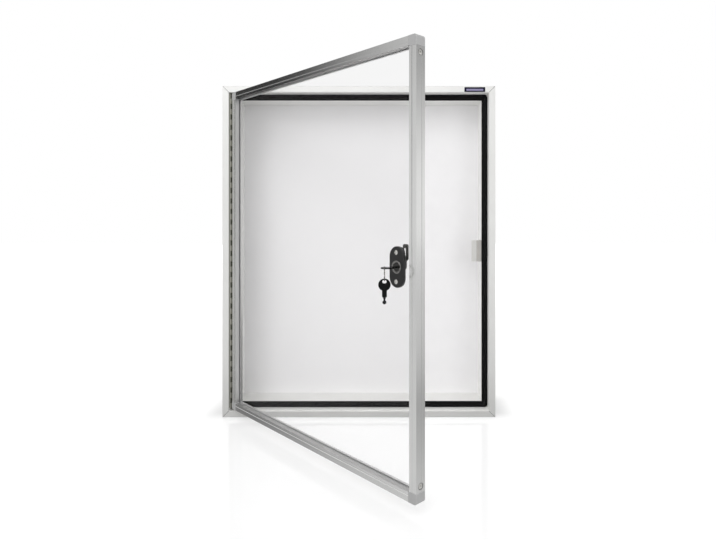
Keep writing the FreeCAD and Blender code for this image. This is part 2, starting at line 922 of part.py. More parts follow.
def strike_outline():
    level = strike_level()
    bend = wall_x - strike_reach + strike_lip
    edge = wall_x - strike_reach
    front = level + strike_thickness
    return [
        (wall_x, level + strike_thickness - strike_leg),
        (wall_x, front),
        (bend, front),
        (edge, front + strike_lip_rise),
        (edge, level + strike_lip_rise),
        (bend, level),
        (wall_x - strike_thickness, level),
        (wall_x - strike_thickness, level + strike_thickness - strike_leg),
    ]


def strike_screw_row(radius, head):
    level = strike_level() - strike_screw_depth
    screws = []
    for z in (-strike_screw_spacing / 2, strike_screw_spacing / 2):
        face = wall_x - strike_thickness
        end = wall_x + frame_wall + 2.0
        screw = fastener_bar(radius, vector(face, -level, z), vector(end, -level, z))
        if head:
            top = face - strike_screw_head_height
            cap = fastener_bar(strike_screw_head_radius, vector(top, -level, z), vector(face, -level, z))
            screw = screw.fuse(cap).removeSplitter()
        screws.append(screw)
    return group(screws)


def strike_bracket():
    half = strike_height / 2
    face = face_of([vector(x, -d, -half) for x, d in strike_outline()])
    bracket = face.extrude(vector(0, 0, 2 * half)).cut(strike_slot())
    return bracket.cut(strike_screw_row(strike_screw_radius + rivet_hole_gap, False))


def name_plate():
    right = case_width / 2 - name_plate_side_offset
    middle_z = case_height / 2 - rim_width / 2 - name_plate_drop
    plate = rounded_plate(name_plate_width / 2, name_plate_height / 2, name_plate_radius, 0, name_plate_thickness)
    plate.translate(vector(right - name_plate_width / 2, -case_depth - name_plate_thickness, middle_z))
    return plate


def build_case():
    holes = insert_holes()
    left = frame_bar(case_height, case_width / 2, -90).cut(holes)
    left = left.cut(at_hinge(rivet_row(-1, rivet_hole_gap)))
    right = frame_bar(case_height, case_width / 2, 90).cut(holes)
    right = right.cut(strike_screw_row(strike_screw_radius + rivet_hole_gap, False))
    save("frame_top", frame_bar(case_width, case_height / 2, 0))
    save("frame_bottom", frame_bar(case_width, case_height / 2, 180))
    save("frame_left", left)
    save("frame_right", right)
    save("frame_corner_cleats", corner_cleats())
    save("back_panel", sheet(-panel_front, panel_thickness - panel_front))
    save("backing_board", sheet(panel_thickness - panel_front, -panel_rear))
    save("door_seal", door_seal())
    save("threaded_inserts", threaded_inserts())
    save("strike_bracket", strike_bracket())
    save("strike_screws", strike_screw_row(strike_screw_radius, True))
    save("name_plate", name_plate())


def build_hinge():
    save("hinge_leaf_case", at_hinge(hinge_leaf(-1, 0)))
    save("hinge_leaf_door", at_hinge_open(hinge_leaf(1, 1)))
    save("hinge_pin", hinge_pin())
    save("hinge_rivets_case", at_hinge(rivet_row(-1, 0)))
    save("hinge_rivets_door", at_hinge_open(rivet_row(1, 0)))


def build_door():
    windows = screw_windows()
    save("door_rail_top", on_door(door_bar(door_width, door_height / 2, 0).cut(windows)))
    save("door_rail_bottom", on_door(door_bar(door_width, door_height / 2, 180).cut(windows)))
    hinge_holes = at_hinge(rivet_row(1, rivet_hole_gap))
    hinge_holes.translate(vector(-door_middle, -door_front_y, -door_lift))
    hinge_stile = door_bar(door_height, door_width / 2, -90, False).cut(hinge_holes)
    save("door_stile_hinge", on_door(hinge_stile))
    save("door_stile_lock", on_door(door_bar(door_height, door_width / 2, 90).cut(windows)))
    save("door_corner_top_lock", on_door(corner_piece(1, 1)))
    save("door_corner_bottom_lock", on_door(corner_piece(1, -1)))
    save("door_corner_top_hinge", on_door(corner_piece(-1, 1)))
    save("door_corner_bottom_hinge", on_door(corner_piece(-1, -1)))
    save("door_corner_screws", on_door(corner_screws()))
    save("pane", on_door(pane()))
    save("pane_gasket", on_door(pane_gasket()))


def build_lock():
    save("lock_plate", at_lock(lock_plate()))
    save("lock_inner_plate", at_lock(inner_plate()))
    save("lock_screws", at_lock(lock_screws()))
    save("lock_housing", at_lock(lock_housing()))
    save("lock_plug", at_lock(lock_plug()))
    save("lock_cam", at_lock(lock_cam()))
    save("lock_cam_screw", at_lock(cam_screw()))


def build_keys():
    save("key_bow", in_lock(key_bow()))
    save("key_blade", in_lock(key_blade()))
    save("key_ring", key_ring())
    save("spare_key_bow", on_ring(key_bow()))
    save("spare_key_blade", on_ring(key_blade()))


os.makedirs("parts", exist_ok=True)
build_case()
build_hinge()
build_door()
build_lock()
build_keys()
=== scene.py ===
import json
import math

import bmesh
import bpy
from mathutils import Matrix, Vector


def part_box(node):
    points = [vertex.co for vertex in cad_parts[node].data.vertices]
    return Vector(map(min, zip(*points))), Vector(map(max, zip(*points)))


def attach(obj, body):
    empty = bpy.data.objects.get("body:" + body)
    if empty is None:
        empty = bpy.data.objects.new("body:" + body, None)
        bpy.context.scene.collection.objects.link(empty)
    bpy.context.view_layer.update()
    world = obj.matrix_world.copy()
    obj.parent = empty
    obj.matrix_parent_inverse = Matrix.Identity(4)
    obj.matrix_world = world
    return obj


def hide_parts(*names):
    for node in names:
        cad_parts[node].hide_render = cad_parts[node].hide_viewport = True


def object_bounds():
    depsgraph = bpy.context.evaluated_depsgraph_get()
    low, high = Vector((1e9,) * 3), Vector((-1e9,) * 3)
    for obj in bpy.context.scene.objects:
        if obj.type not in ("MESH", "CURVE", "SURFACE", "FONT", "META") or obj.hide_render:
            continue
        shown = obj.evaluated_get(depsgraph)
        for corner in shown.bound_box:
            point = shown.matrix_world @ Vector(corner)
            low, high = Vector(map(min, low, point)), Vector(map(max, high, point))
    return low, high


# A lockable notice case: aluminium frame, hinged glazed door, cam lock with two keys.
# Lengths in the dictionaries are millimetres, angles are degrees.

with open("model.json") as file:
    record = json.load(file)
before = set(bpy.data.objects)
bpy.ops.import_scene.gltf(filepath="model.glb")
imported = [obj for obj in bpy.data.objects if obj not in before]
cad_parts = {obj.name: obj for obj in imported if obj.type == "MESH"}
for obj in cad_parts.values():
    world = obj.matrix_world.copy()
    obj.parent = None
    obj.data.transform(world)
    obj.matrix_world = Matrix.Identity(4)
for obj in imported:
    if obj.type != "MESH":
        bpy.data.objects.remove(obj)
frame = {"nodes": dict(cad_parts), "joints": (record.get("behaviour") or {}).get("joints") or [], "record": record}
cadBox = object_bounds()
nodes = frame["nodes"]
joints = {joint["name"]: joint for joint in frame["joints"]}
bodyOf = {node: body for body, members in frame["record"]["behaviour"]["bodies"].items() for node in members}
mm = 0.001
weld = 0.001 * mm  # points nearer than this are one
facing = 0.9  # a face looks toward a direction when its normal has this much of it
beyond = mm  # cutters reach this far past what they cut
sharpAngle = 32  # edges that turn by more stay sharp
sharpTurned = 40  # the same on turned and cast forms, whose facets are wider
flatAngle = 0.6  # facets that turn by less are one flat face
pureWhite = (1, 1, 1, 1)
print("frame loaded:", len(nodes), "nodes")

doorAngle = math.radians(-joints["door_swing"]["range_deg"][0])
hingeLine = Vector(joints["door_swing"]["pos_m"])
doorAlong = Vector((math.cos(doorAngle), -math.sin(doorAngle), 0))  # from the hinge to the free edge
intoDoor = Vector(joints["key_turn"]["axis"]).normalized()
lockPoint = Vector(joints["key_turn"]["pos_m"])
upward = Vector((0, 0, 1))
rightward = Vector((1, 0, 0))
rearward = Vector((0, 1, 0))


def toLinear(hexCode):
    values = [int(hexCode[i : i + 2], 16) / 255 for i in (1, 3, 5)]
    return (*[v / 12.92 if v <= 0.04045 else ((v + 0.055) / 1.055) ** 2.4 for v in values], 1.0)


def addNode(tree, kind, settings=None, links=None):
    made = tree.nodes.new("ShaderNode" + kind)
    for key, value in (settings or {}).items():
        if isinstance(key, int) or key in made.inputs:
            made.inputs[key].default_value = value
        else:
            setattr(made, key, value)
    for key, source in (links or {}).items():
        tree.links.new(source, made.inputs[key])
    return made


def startMaterial(name, surface):
    material = bpy.data.materials.new(name)
    material.use_nodes = True
    tree = material.node_tree
    tree.nodes.clear()
    shader = addNode(tree, "BsdfPrincipled", surface)
    output = addNode(tree, "OutputMaterial", {}, {"Surface": shader.outputs[0]})
    place = addNode(tree, "TexCoord").outputs["Object"]
    return material, tree, shader, output, place


def joinSkin(tree, shader, dark, light, mottle, smooth, rough, sheen, strength, depth, relief):
    # Two tones mixed by one pattern, roughness spread by the next, and a fine relief from the last.
    tones = {"data_type": "RGBA", 6: toLinear(dark), 7: toLinear(light)}
    colour = addNode(tree, "Mix", tones, {0: mottle.outputs[0]})
    tree.links.new(colour.outputs[2], shader.inputs["Base Color"])
    spread = addNode(tree, "MapRange", {3: smooth, 4: rough}, {0: sheen.outputs[0]})
    tree.links.new(spread.outputs[0], shader.inputs["Roughness"])
    raised = {"Strength": strength, "Distance": depth * mm}
    bump = addNode(tree, "Bump", raised, {"Height": relief.outputs[0]})
    tree.links.new(bump.outputs[0], shader.inputs["Normal"])


aluminium = {
    "case": ("#EFEFED", "#F8F8F6", 0.46, 0.58, 0.8),  # tones, roughness, metallic: a matt etch, pale and even
    "door": ("#D6D6D5", "#E2E2E1", 0.13, 0.20, 1.0),  # a finer etch, so the rails mirror the room softly
    "wall": ("#F4F4F2", "#FAFAF8", 0.50, 0.62, 0.25),  # the walls round the case's opening, left chalky
    "mitre": ("#6E6E6D", "#7C7C7B", 0.50, 0.62, 0.8),  # the mitres' broken edges: grey, a painted shade of the joint
    "lip": ("#585857", "#BCBCBB", 0.36, 0.48, 1.0),  # the walls round the pane: dull, with painted shade darkest toward the hinge
    "lipFade": (0.02, 0.33),  # metres along the door where that painted shade begins to fade and is gone
    "sill": ("#BCBCBB", "#C8C8C7", 0.32, 0.44, 1.0),  # the walls round the pane on the sill and the hinge stile: the lip's tone without its painted shade
    "line": ("#EDEDEC", "#F4F4F3", 0.42, 0.54, 0.4),  # the flanks of the sill's drawn line: pale, a painted highlight
    "dieLineSpacing": 0.9,  # coarser than the real 0.1 mm, so that it shows
    "dieLineLength": 160.0,
    "dieLineRelief": 0.6,  # how deep the lines are beside the grain
    "etchGrain": 0.35,
    "cloud": 70.0,
    "bump": (0.05, 0.02),  # strength and depth
}


def anodisedAluminium(name, turn, alongAxis, etch):
    # Extruded, etched and anodised: satin metal with faint die lines along the bar
    # and a slow clouding from the dye bath; on the pane's lip, painted shade along the door takes the clouding's
    # place.
    dark, light, smooth, rough, metallic = aluminium[etch]
    material, tree, shader, output, place = startMaterial(name, {"Metallic": metallic})
    turned = addNode(tree, "VectorRotate", {"rotation_type": "Z_AXIS", "Angle": turn}, {"Vector": place})
    scale = [1 / (aluminium["dieLineSpacing"] * mm)] * 3
    scale[alongAxis] = 1 / (aluminium["dieLineLength"] * mm)
    stretch = addNode(tree, "Mapping", {"Scale": scale}, {"Vector": turned.outputs[0]})
    lines = addNode(tree, "TexNoise", {"Scale": 1.0, "Detail": 3.0}, {"Vector": stretch.outputs[0]})
    etched = {"Scale": 1 / (aluminium["etchGrain"] * mm), "Detail": 2.0}
    grain = addNode(tree, "TexNoise", etched, {"Vector": place})
    deepen = {"operation": "MULTIPLY_ADD", 1: aluminium["dieLineRelief"]}
    relief = addNode(tree, "Math", deepen, {0: lines.outputs[0], 2: grain.outputs[0]})
    # On the pane's lip the two tones are painted shade, darkest near the hinge and fading along the door.
    if etch == "lip":
        along = addNode(tree, "SeparateXYZ", {}, {0: turned.outputs[0]}).outputs["X"]
        start, end = aluminium["lipFade"]
        mottle = addNode(tree, "MapRange", {1: start, 2: end}, {0: along})
    else:
        dyed = {"Scale": 1 / (aluminium["cloud"] * mm), "Detail": 3.0}
        mottle = addNode(tree, "TexNoise", dyed, {"Vector": place})
    strength, depth = aluminium["bump"]
    joinSkin(tree, shader, dark, light, mottle, smooth, rough, lines, strength, depth, relief)
    return material


platedMetals = {
    # base tones, roughness low and high, direction of the drawn lines (0 X, 1 Y, 2 Z), their spacing
    "cleat": ("aluminium, extruded, mill finish", "#B2B2B0", "#C4C4C2", 0.34, 0.46, 0, 0.6),
    # Both hinge leaves are one steel: the case leaf's paler tone is painted light, the door leaf's darker one
    # painted shade of the gap.
    "hingeCase": ("steel, rolled, case leaf with painted light", "#96968B", "#A5A59A", 0.30, 0.44, 2, 0.5),
    "hingeDoor": ("steel, rolled, door leaf with painted shade", "#505046", "#5F5F54", 0.30, 0.44, 2, 0.5),
    "hingeLitFlank": ("steel, rolled, flank with painted highlight", "#D2D1CC", "#E0DFDA", 0.30, 0.44, 2, 0.5),
    "pin": ("steel, drawn wire", "#8C8C88", "#A2A29E", 0.24, 0.36, 2, 0.3),
    "rivet": ("aluminium, headed wire", "#BFBFBB", "#D2D2CE", 0.28, 0.42, 2, 0.4),
    "strike": ("steel, bent and zinc plated", "#BFBCB8", "#CFCCC8", 0.36, 0.50, 2, 0.5),
    "strikeLip": ("steel, zinc plated, lip with painted light", "#F0EFEC", "#F8F7F4", 0.30, 0.42, 2, 0.5),
    "screw": ("steel, cold headed and zinc plated", "#CECDC9", "#E2E1DD", 0.20, 0.32, 0, 0.35),
    "insert": ("steel, turned and zinc plated", "#BDBBAF", "#CFCDC2", 0.26, 0.38, 1, 0.35),
    "lock": ("zinc, die cast and black nickel plated", "#7E7D7B", "#8E8D8B", 0.10, 0.16, 1, 0.8),
    "plug": ("brass, turned and black nickel plated", "#3E3E3D", "#4C4B4A", 0.20, 0.30, 1, 0.35),
    "cam": ("steel, stamped and black zinc plated", "#4A4A49", "#636361", 0.32, 0.46, 2, 0.5),
    "blade": ("steel, milled and blackened", "#29292A", "#39393A", 0.28, 0.40, 2, 0.4),
    "ring": ("spring steel, coiled and nickel plated", "#8F8E8A", "#A9A8A4", 0.18, 0.28, 1, 0.3),
}
plating = {"lineLength": 14.0, "cloud": 9.0, "bump": (0.1, 0.03)}


def platedMetal(name, dark, light, smooth, rough, alongAxis, spacing):
    # Metal under a thin coat: fine lines of the rolling, drawing or turning, slightly cloudy above them.
    material, tree, shader, output, place = startMaterial(name, {"Metallic": 1.0})
    scale = [1 / (spacing * mm)] * 3
    scale[alongAxis] = 1 / (plating["lineLength"] * mm)
    stretch = addNode(tree, "Mapping", {"Scale": scale}, {"Vector": place})
    lines = addNode(tree, "TexNoise", {"Scale": 1.0, "Detail": 2.0}, {"Vector": stretch.outputs[0]})
    cloudy = {"Scale": 1 / (plating["cloud"] * mm), "Detail": 4.0}
    cloud = addNode(tree, "TexNoise", cloudy, {"Vector": place})
    strength, depth = plating["bump"]
    joinSkin(tree, shader, dark, light, cloud, smooth, rough, cloud, strength, depth, lines)
    return material


coatedSurfaces = {
    # base tones, roughness low and high, specular level, size of the texture, its depth, strength of the bump
    "panel": ("steel sheet, coil coated white", "#EEEDEE", "#F3F2F3", 0.38, 0.46, 0.5, 1.6, 0.03, 0.04),
    "seal": ("EPDM rubber, extruded", "#0A0A0B", "#111112", 0.42, 0.55, 0.12, 0.7, 0.04, 0.1),
    "gasket": ("soft PVC, extruded grey", "#B4B4B4", "#BEBEBE", 0.5, 0.62, 0.3, 0.7, 0.04, 0.15),
    "black": ("zinc plate, powder coated black", "#161617", "#1E1E1F", 0.36, 0.46, 0.55, 0.5, 0.05, 0.2),
    "plate": ("brass sheet, stove enamelled navy", "#0A0A20", "#10102A", 0.30, 0.40, 0.15, 2.5, 0.03, 0.06),
    "field": ("brass sheet, enamelled lavender", "#8782A4", "#928DAF", 0.3, 0.4, 0.3, 2.5, 0.03, 0.06),
    "corner": ("ABS, moulded in grey", "#ACACAC", "#B5B5B5", 0.34, 0.46, 0.5, 0.8, 0.04, 0.15),
    "bow": ("ABS, moulded in black", "#060606", "#0A0A0A", 0.24, 0.34, 0.12, 0.6, 0.03, 0.08),
}
coatCloud = 28.0  # how far apart a coat's slow changes of tone are


def coatedSurface(name, dark, light, smooth, rough, specular, size, depth, strength):
    # Paint, rubber or moulded plastic: even colour, a fine skin from the spray, the die or the mould.
    material, tree, shader, output, place = startMaterial(name, {"Specular IOR Level": specular})
    skin = addNode(tree, "TexNoise", {"Scale": 1 / (size * mm), "Detail": 3.0}, {"Vector": place})
    cloud = addNode(tree, "TexNoise", {"Scale": 1 / (coatCloud * mm), "Detail": 3.0}, {"Vector": place})
    joinSkin(tree, shader, dark, light, cloud, smooth, rough, skin, strength, depth, skin)
    return material


hardboard = {
    "tones": ("#5E4530", "#8A6A4B"),
    "rough": (0.8, 0.8),
    "fibre": 1.2,
    "screenMark": 3.0,
    "waveRate": 20,  # a wave texture of scale 1 turns by this many radians in each unit
    "screenRelief": 0.5,  # how deep the mesh is beside the fibres
    "bump": (0.3, 0.12),
}


def pressedFibre():
    # Hardboard, wet pressed on a wire screen: brown, matt, short felted fibres and the mark of the mesh.
    material, tree, shader, output, place = startMaterial("hardboard, wet pressed", {})
    felt = {"Scale": 1 / (hardboard["fibre"] * mm), "Detail": 6.0, "Roughness": 0.7, "Distortion": 1.5}
    fibres = addNode(tree, "TexNoise", felt, {"Vector": place})
    size = 2 * math.pi / (hardboard["waveRate"] * hardboard["screenMark"] * mm)
    across = addNode(tree, "TexWave", {"Scale": size, "bands_direction": "X"}, {"Vector": place})
    upright = addNode(tree, "TexWave", {"Scale": size, "bands_direction": "Z"}, {"Vector": place})
    mesh = addNode(tree, "Math", {"operation": "MULTIPLY"}, {0: across.outputs[1], 1: upright.outputs[1]})
    deepen = {"operation": "MULTIPLY_ADD", 1: hardboard["screenRelief"]}
    relief = addNode(tree, "Math", deepen, {0: mesh.outputs[0], 2: fibres.outputs[0]})
    dark, light = hardboard["tones"]
    smooth, rough = hardboard["rough"]
    strength, depth = hardboard["bump"]
    joinSkin(tree, shader, dark, light, fibres, smooth, rough, fibres, strength, depth, relief)
    return material


acrylic = {"tint": "#F6F6F6", "shadow": "#F8F8F8", "ior": 1.12}


def clearPane():
    # Acrylic, cast, polished and bloomed against glare: clear, with a thin pale reflection.
    # Light passes straight through it, so it casts no dark shadow.
    surface = {"Base Color": toLinear(acrylic["tint"]), "Transmission Weight": 1.0, "Roughness": 0.0}
    surface["IOR"] = acrylic["ior"]  # under acrylic's 1.49, as the bloomed face mirrors little
    material, tree, shader, output, place = startMaterial("acrylic, cast and polished", surface)
    through = addNode(tree, "BsdfTransparent", {"Color": toLinear(acrylic["shadow"])})
    path = addNode(tree, "LightPath")
    shaders = {0: path.outputs["Is Shadow Ray"], 1: shader.outputs[0], 2: through.outputs[0]}
    tree.links.new(addNode(tree, "MixShader", {}, shaders).outputs[0], output.inputs["Surface"])
    return material


finishes = {
    "caseAcross": anodisedAluminium("aluminium, anodised, case bars across", 0, 0, "case"),
    "caseUpright": anodisedAluminium("aluminium, anodised, case bars upright", 0, 2, "case"),
    "caseWall": anodisedAluminium("aluminium, anodised, case walls", 0, 2, "wall"),
    "caseMitre": anodisedAluminium("aluminium, anodised, case mitres with painted shade", 0, 2, "mitre"),
    "doorAcross": anodisedAluminium("aluminium, anodised, door rails", doorAngle, 0, "door"),
    "doorUpright": anodisedAluminium("aluminium, anodised, door stiles", doorAngle, 2, "door"),
    "doorLip": anodisedAluminium("aluminium, anodised, lips with painted shade", doorAngle, 0, "lip"),
    "doorSill": anodisedAluminium("aluminium, anodised, sill wall", doorAngle, 0, "sill"),
    "doorLine": anodisedAluminium("aluminium, anodised, drawn line with painted highlight", doorAngle, 0, "line"),
    "board": pressedFibre(),
    "pane": clearPane(),
}
finishes.update({key: platedMetal(*values) for key, values in platedMetals.items()})
finishes.update({key: coatedSurface(*values) for key, values in coatedSurfaces.items()})
print("materials made:", len(finishes))


def addPiece(name, mesh, finish, node, replaced=True):
    piece = bpy.data.objects.new(name, mesh)
    bpy.context.scene.collection.objects.link(piece)
    mesh.materials.clear()
    mesh.materials.append(finishes[finish])
    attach(piece, bodyOf[node])
    if replaced:
        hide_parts(node)
    return piece


def settle(piece):
    # Applies the piece's modifiers, so that its mesh is final.
    bpy.context.view_layer.update()
    ready = piece.evaluated_get(bpy.context.evaluated_depsgraph_get())
    mesh = bpy.data.meshes.new_from_object(ready)
    piece.modifiers.clear()
    piece.data = mesh


def softenEdges(piece, width, segments=2, angle=sharpAngle):
    # Breaks the edges by this width, or none at width 0, and shades the flat faces flat.
    if width:
        bevel = piece.modifiers.new("edges", "BEVEL")
        bevel.width = width
        bevel.segments = segments
        bevel.limit_method = "ANGLE"
        bevel.angle_limit = math.radians(angle)
    shading = piece.modifiers.new("shading", "WEIGHTED_NORMAL")
    shading.mode = "FACE_AREA"
    shading.weight = 100
    shading.keep_sharp = True
    settle(piece)


def toMesh(name, work, angle=sharpAngle):
    # Ends the work: a smooth mesh, sharp where faces meet at more than the angle.
    bmesh.ops.recalc_face_normals(work, faces=work.faces)
    for face in work.faces:
        face.smooth = True
    mesh = bpy.data.meshes.new(name)
    work.to_mesh(mesh)
    work.free()
    mesh.set_sharp_from_angle(angle=math.radians(angle))
    return mesh


def pieceName(node):
    words = node.split("_")
    return words[0] + "".join(word.capitalize() for word in words[1:])


def cutAway(piece, tool):
    # Takes the tool's solid out of the piece. The tool is only for making, so it goes afterwards.
    cut = piece.modifiers.new("cut", "BOOLEAN")
    cut.operation = "DIFFERENCE"
    cut.solver = "EXACT"
    cut.object = tool
    settle(piece)
    bpy.data.objects.remove(tool)


def turnedForm(work, profile, place, along, segments):
    # A turned solid: (distance along, radius) points from one end to the other.
    turn = along.to_track_quat("Z", "Y").to_matrix().to_4x4()
    matrix = Matrix.Translation(place) @ turn
    circles = []
    for level, radius in profile:
        circle = []
        for i in range(segments if radius else 1):
            angle = 2 * math.pi * i / segments
            spot = Vector((radius * math.cos(angle), radius * math.sin(angle), level))
            circle.append(work.verts.new(matrix @ spot))
        circles.append(circle)
    for first, second in zip(circles, circles[1:]):
        for i in range(segments):
            corners = [first[i % len(first)], first[(i + 1) % len(first)]]
            corners += [second[(i + 1) % len(second)], second[i % len(second)]]
            unique = list(dict.fromkeys(corners))
            if len(unique) > 2:
                work.faces.new(unique)


def domeProfile(height, radius, steps):
    # A dome from its top out to its rim, as (distance along, radius) points.
    angles = [math.pi / 2 * i / steps for i in range(steps + 1)]
    return [(-height * (1 - math.cos(angle)), radius * math.sin(angle)) for angle in angles]


def joinLoops(work, loops):
    # Walls from each closed loop of points to the next, and a face over both ends.
    count = len(loops[0])
    for first, second in zip(loops, loops[1:]):
        for i in range(count):
            after = (i + 1) % count
            work.faces.new((first[i], first[after], second[after], second[i]))
    work.faces.new(loops[0])
    work.faces.new(loops[-1])


def toolObject(work):
    # A cutter, flat shaded, that no picture shows.
    bmesh.ops.recalc_face_normals(work, faces=work.faces)
    mesh = bpy.data.meshes.new("tool")
    work.to_mesh(mesh)
    work.free()
    tool = bpy.data.objects.new("tool", mesh)
    bpy.context.scene.collection.objects.link(tool)
    tool.hide_render = True
    return tool


def roundTool(places, along, radius, start, end, segments=40):
    # Round cutters at several places, from one distance along their axis to the other.
    work = bmesh.new()
    for place in places:
        turnedForm(work, [(start, 0), (start, radius), (end, radius), (end, 0)], place, along, segments)
    return toolObject(work)


def formOf(node):
    # The node's own solids, their doubled points made one.
    work = bmesh.new()
    work.from_mesh(nodes[node].data)
    bmesh.ops.remove_doubles(work, verts=work.verts, dist=weld)
    return work


def fastenersOf(node, outward):
    # Each separate solid of a node: the centre of its head's top, and its length behind that.
    work = formOf(node)
    side = outward.orthogonal().normalized()
    other = outward.cross(side)
    left = set(work.verts)
    found = []
    while left:
        reached = [left.pop()]
        island = list(reached)
        while reached:
            for edge in reached.pop().link_edges:
                for vert in edge.verts:
                    if vert in left:
                        left.discard(vert)
                        reached.append(vert)
                        island.append(vert)
        heights = [vert.co.dot(outward) for vert in island]
        centre = outward * max(heights)
        for way in (side, other):
            reach = [vert.co.dot(way) for vert in island]
            centre += way * (max(reach) + min(reach)) / 2
        found.append((centre, max(heights) - min(heights)))
    work.free()
    return sorted(found, key=lambda item: (round(item[0].z, 4), round(item[0].x, 4)))


def finished(node, finish, edge, angle=sharpAngle, cutters=()):
    # A node's own form with its edges broken as the maker leaves them.
    work = formOf(node)
    bmesh.ops.dissolve_limit(work, angle_limit=math.radians(flatAngle), verts=work.verts, edges=work.edges)
    piece = addPiece(pieceName(node), toMesh(node + "_form", work, angle), finish, node)
    for cutter in cutters:
        cutAway(piece, cutter)
    softenEdges(piece, edge * mm, angle=angle)
    return piece


plainPieces = {
    # node: (finish, width of the broken edge)
    "frame_corner_cleats": ("cleat", 0.3),
    "back_panel": ("panel", 0.15),
    "backing_board": ("board", 0.2),
    "strike_bracket": ("strike", 0.3),
    "door_seal": ("seal", 0.6),
    "door_corner_top_lock": ("corner", 0.5),
    "door_corner_bottom_lock": ("corner", 0.5),
    "door_corner_top_hinge": ("corner", 0.5),
    "door_corner_bottom_hinge": ("corner", 0.5),
    "pane": ("pane", 0.3),
    "pane_gasket": ("gasket", 0.15),
    "lock_inner_plate": ("black", 0.4),
    "lock_plug": ("plug", 0.2),
    "lock_cam": ("cam", 0.2),
    "key_bow": ("bow", 0.35),
    "key_blade": ("blade", 0.2),
    "spare_key_bow": ("bow", 0.35),
    "spare_key_blade": ("blade", 0.2),
}
for node, (finish, edge) in plainPieces.items():
    finished(node, finish, edge)
print("plain pieces made:", len(plainPieces))

strikeLean = 0.05  # the lip's front leans at least this far to the right


def paintStrikeLipLight():
    # The strike's lip, which faces the room, gets painted light, paler than the rest of the bracket.
    strike = bpy.data.objects["strikeBracket"].data
    strike.materials.append(finishes["strikeLip"])
    for face in strike.polygons:
        if face.normal.x > strikeLean and face.normal.y < -facing:
            face.material_index = 1


paintStrikeLipLight()

inserts = {
    "flange": 5.95,
    "flangeThickness": 0.8,
    "flangeEdge": 0.2,
    "body": (4.522, 4.403),  # radius behind the flange and at the end
    "hole": 6.02,
    "thread": 2.5,
    "threadDepth": 0.45,
    "plainBore": 1.5,  # what the thread leaves plain, of the length
    "pitch": 1.0,
    "chamfer": 0.6,
    "segments": 40,
}
insertSites = fastenersOf("threaded_inserts", rearward)


def threadedInserts():
    # Turned nuts pressed into the back: a round flange, a chamfered mouth and a cut thread.
    work = bmesh.new()
    bore = inserts["thread"] * mm
    flange = inserts["flange"] * mm
    thick = inserts["flangeThickness"] * mm
    edge = inserts["flangeEdge"] * mm
    neck, tail = [radius * mm for radius in inserts["body"]]
    chamfer = inserts["chamfer"] * mm
    pitch = inserts["pitch"] * mm
    for place, length in insertSites:
        profile = [(0, bore + chamfer), (0, flange - edge), (-edge, flange), (-thick, flange)]
        profile += [(-thick, neck), (-length, tail), (-length, bore)]
        turns = int((length - inserts["plainBore"] * mm) / pitch)
        for i in range(turns):
            level = -length + (i + 0.5) * pitch
            profile += [(level, bore), (level + pitch / 2, bore + inserts["threadDepth"] * mm)]
        profile += [(-chamfer, bore), (0, bore + chamfer)]
        turnedForm(work, profile, place, rearward, inserts["segments"])
    bmesh.ops.remove_doubles(work, verts=work.verts, dist=weld)
    addPiece("threadedInserts", toMesh("threadedInserts", work, sharpTurned), "insert", "threaded_inserts")


threadedInserts()

caseBars = {
    "edge": 0.6,
    "mitreLean": 0.2,  # the mitres' broken edges lean at least this far across and up or down
    "bars": {
        # node: (finish, way into the case, millimetres before the wall where the chalky walls end,
        # whether inserts sit in it)
        "frame_top": ("caseAcross", -upward, 59, False),
        "frame_bottom": ("caseAcross", upward, 59, False),
        "frame_left": ("caseUpright", rightward, 0, True),
        "frame_right": ("caseUpright", -rightward, 0, True),
    },
}
for node, (finish, inward, wallEnd, drilled) in caseBars["bars"].items():
    cutters = []
    if drilled:
        sites = [place for place, length in insertSites]
        thick = inserts["flangeThickness"] * mm
        cutters.append(roundTool(sites, rearward, inserts["hole"] * mm, -thick, beyond))
    bar = finished(node, finish, caseBars["edge"], cutters=cutters)
    bar.data.materials.append(finishes["caseWall"])
    bar.data.materials.append(finishes["caseMitre"])
    for face in bar.data.polygons:
        if face.normal.dot(inward) > facing and face.center.y < -wallEnd * mm:
            face.material_index = 1
        # The mitres' broken edges get the grey of a painted shade in the joint.
        if min(abs(face.normal.x), abs(face.normal.z), -face.normal.y) > caseBars["mitreLean"]:
            face.material_index = 2
print("case made")

namePlate = {
    "side": 4.0,
    "top": 3.4,
    "bottom": 2.4,
    "rise": 0.25,
    "bed": 0.05,  # the border's floor lies this far behind the field's face
    "corners": (1.0, 0.5),  # radius outside and round the field
    "cornerSteps": 6,
    "edge": 0.1,
}


def plateLoop(work, inner, level):
    # The plate's outline (inner 0) or its field's (inner 1), with round corners, at one depth.
    low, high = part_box("name_plate")
    corner = namePlate["corners"][inner] * mm
    left = low.x + inner * namePlate["side"] * mm + corner
    right = high.x - inner * namePlate["side"] * mm - corner
    bottom = low.z + inner * namePlate["bottom"] * mm + corner
    top = high.z - inner * namePlate["top"] * mm - corner
    loop = []
    for x, z, first in ((right, top, 0), (left, top, 90), (left, bottom, 180), (right, bottom, 270)):
        for i in range(namePlate["cornerSteps"] + 1):
            angle = math.radians(first + 90 * i / namePlate["cornerSteps"])
            loop.append(work.verts.new((x + corner * math.cos(angle), level, z + corner * math.sin(angle))))
    return loop


def rimPlate():
    # A blank enamelled plate: a dark raised border round a paler field.
    low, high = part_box("name_plate")
    sunk = low.y + namePlate["rise"] * mm
    border = bmesh.new()
    levels = ((1, sunk + namePlate["bed"] * mm), (1, low.y), (0, low.y), (0, high.y))
    joinLoops(border, [plateLoop(border, inner, level) for inner, level in levels])
    piece = addPiece("namePlate", toMesh("namePlate", border), "plate", "name_plate")
    softenEdges(piece, namePlate["edge"] * mm)
    field = bmesh.new()
    joinLoops(field, [plateLoop(field, 1, level) for level in (sunk, high.y)])
    addPiece("namePlateField", toMesh("namePlateField", field), "field", "name_plate", replaced=False)


rimPlate()
print("name plate made")

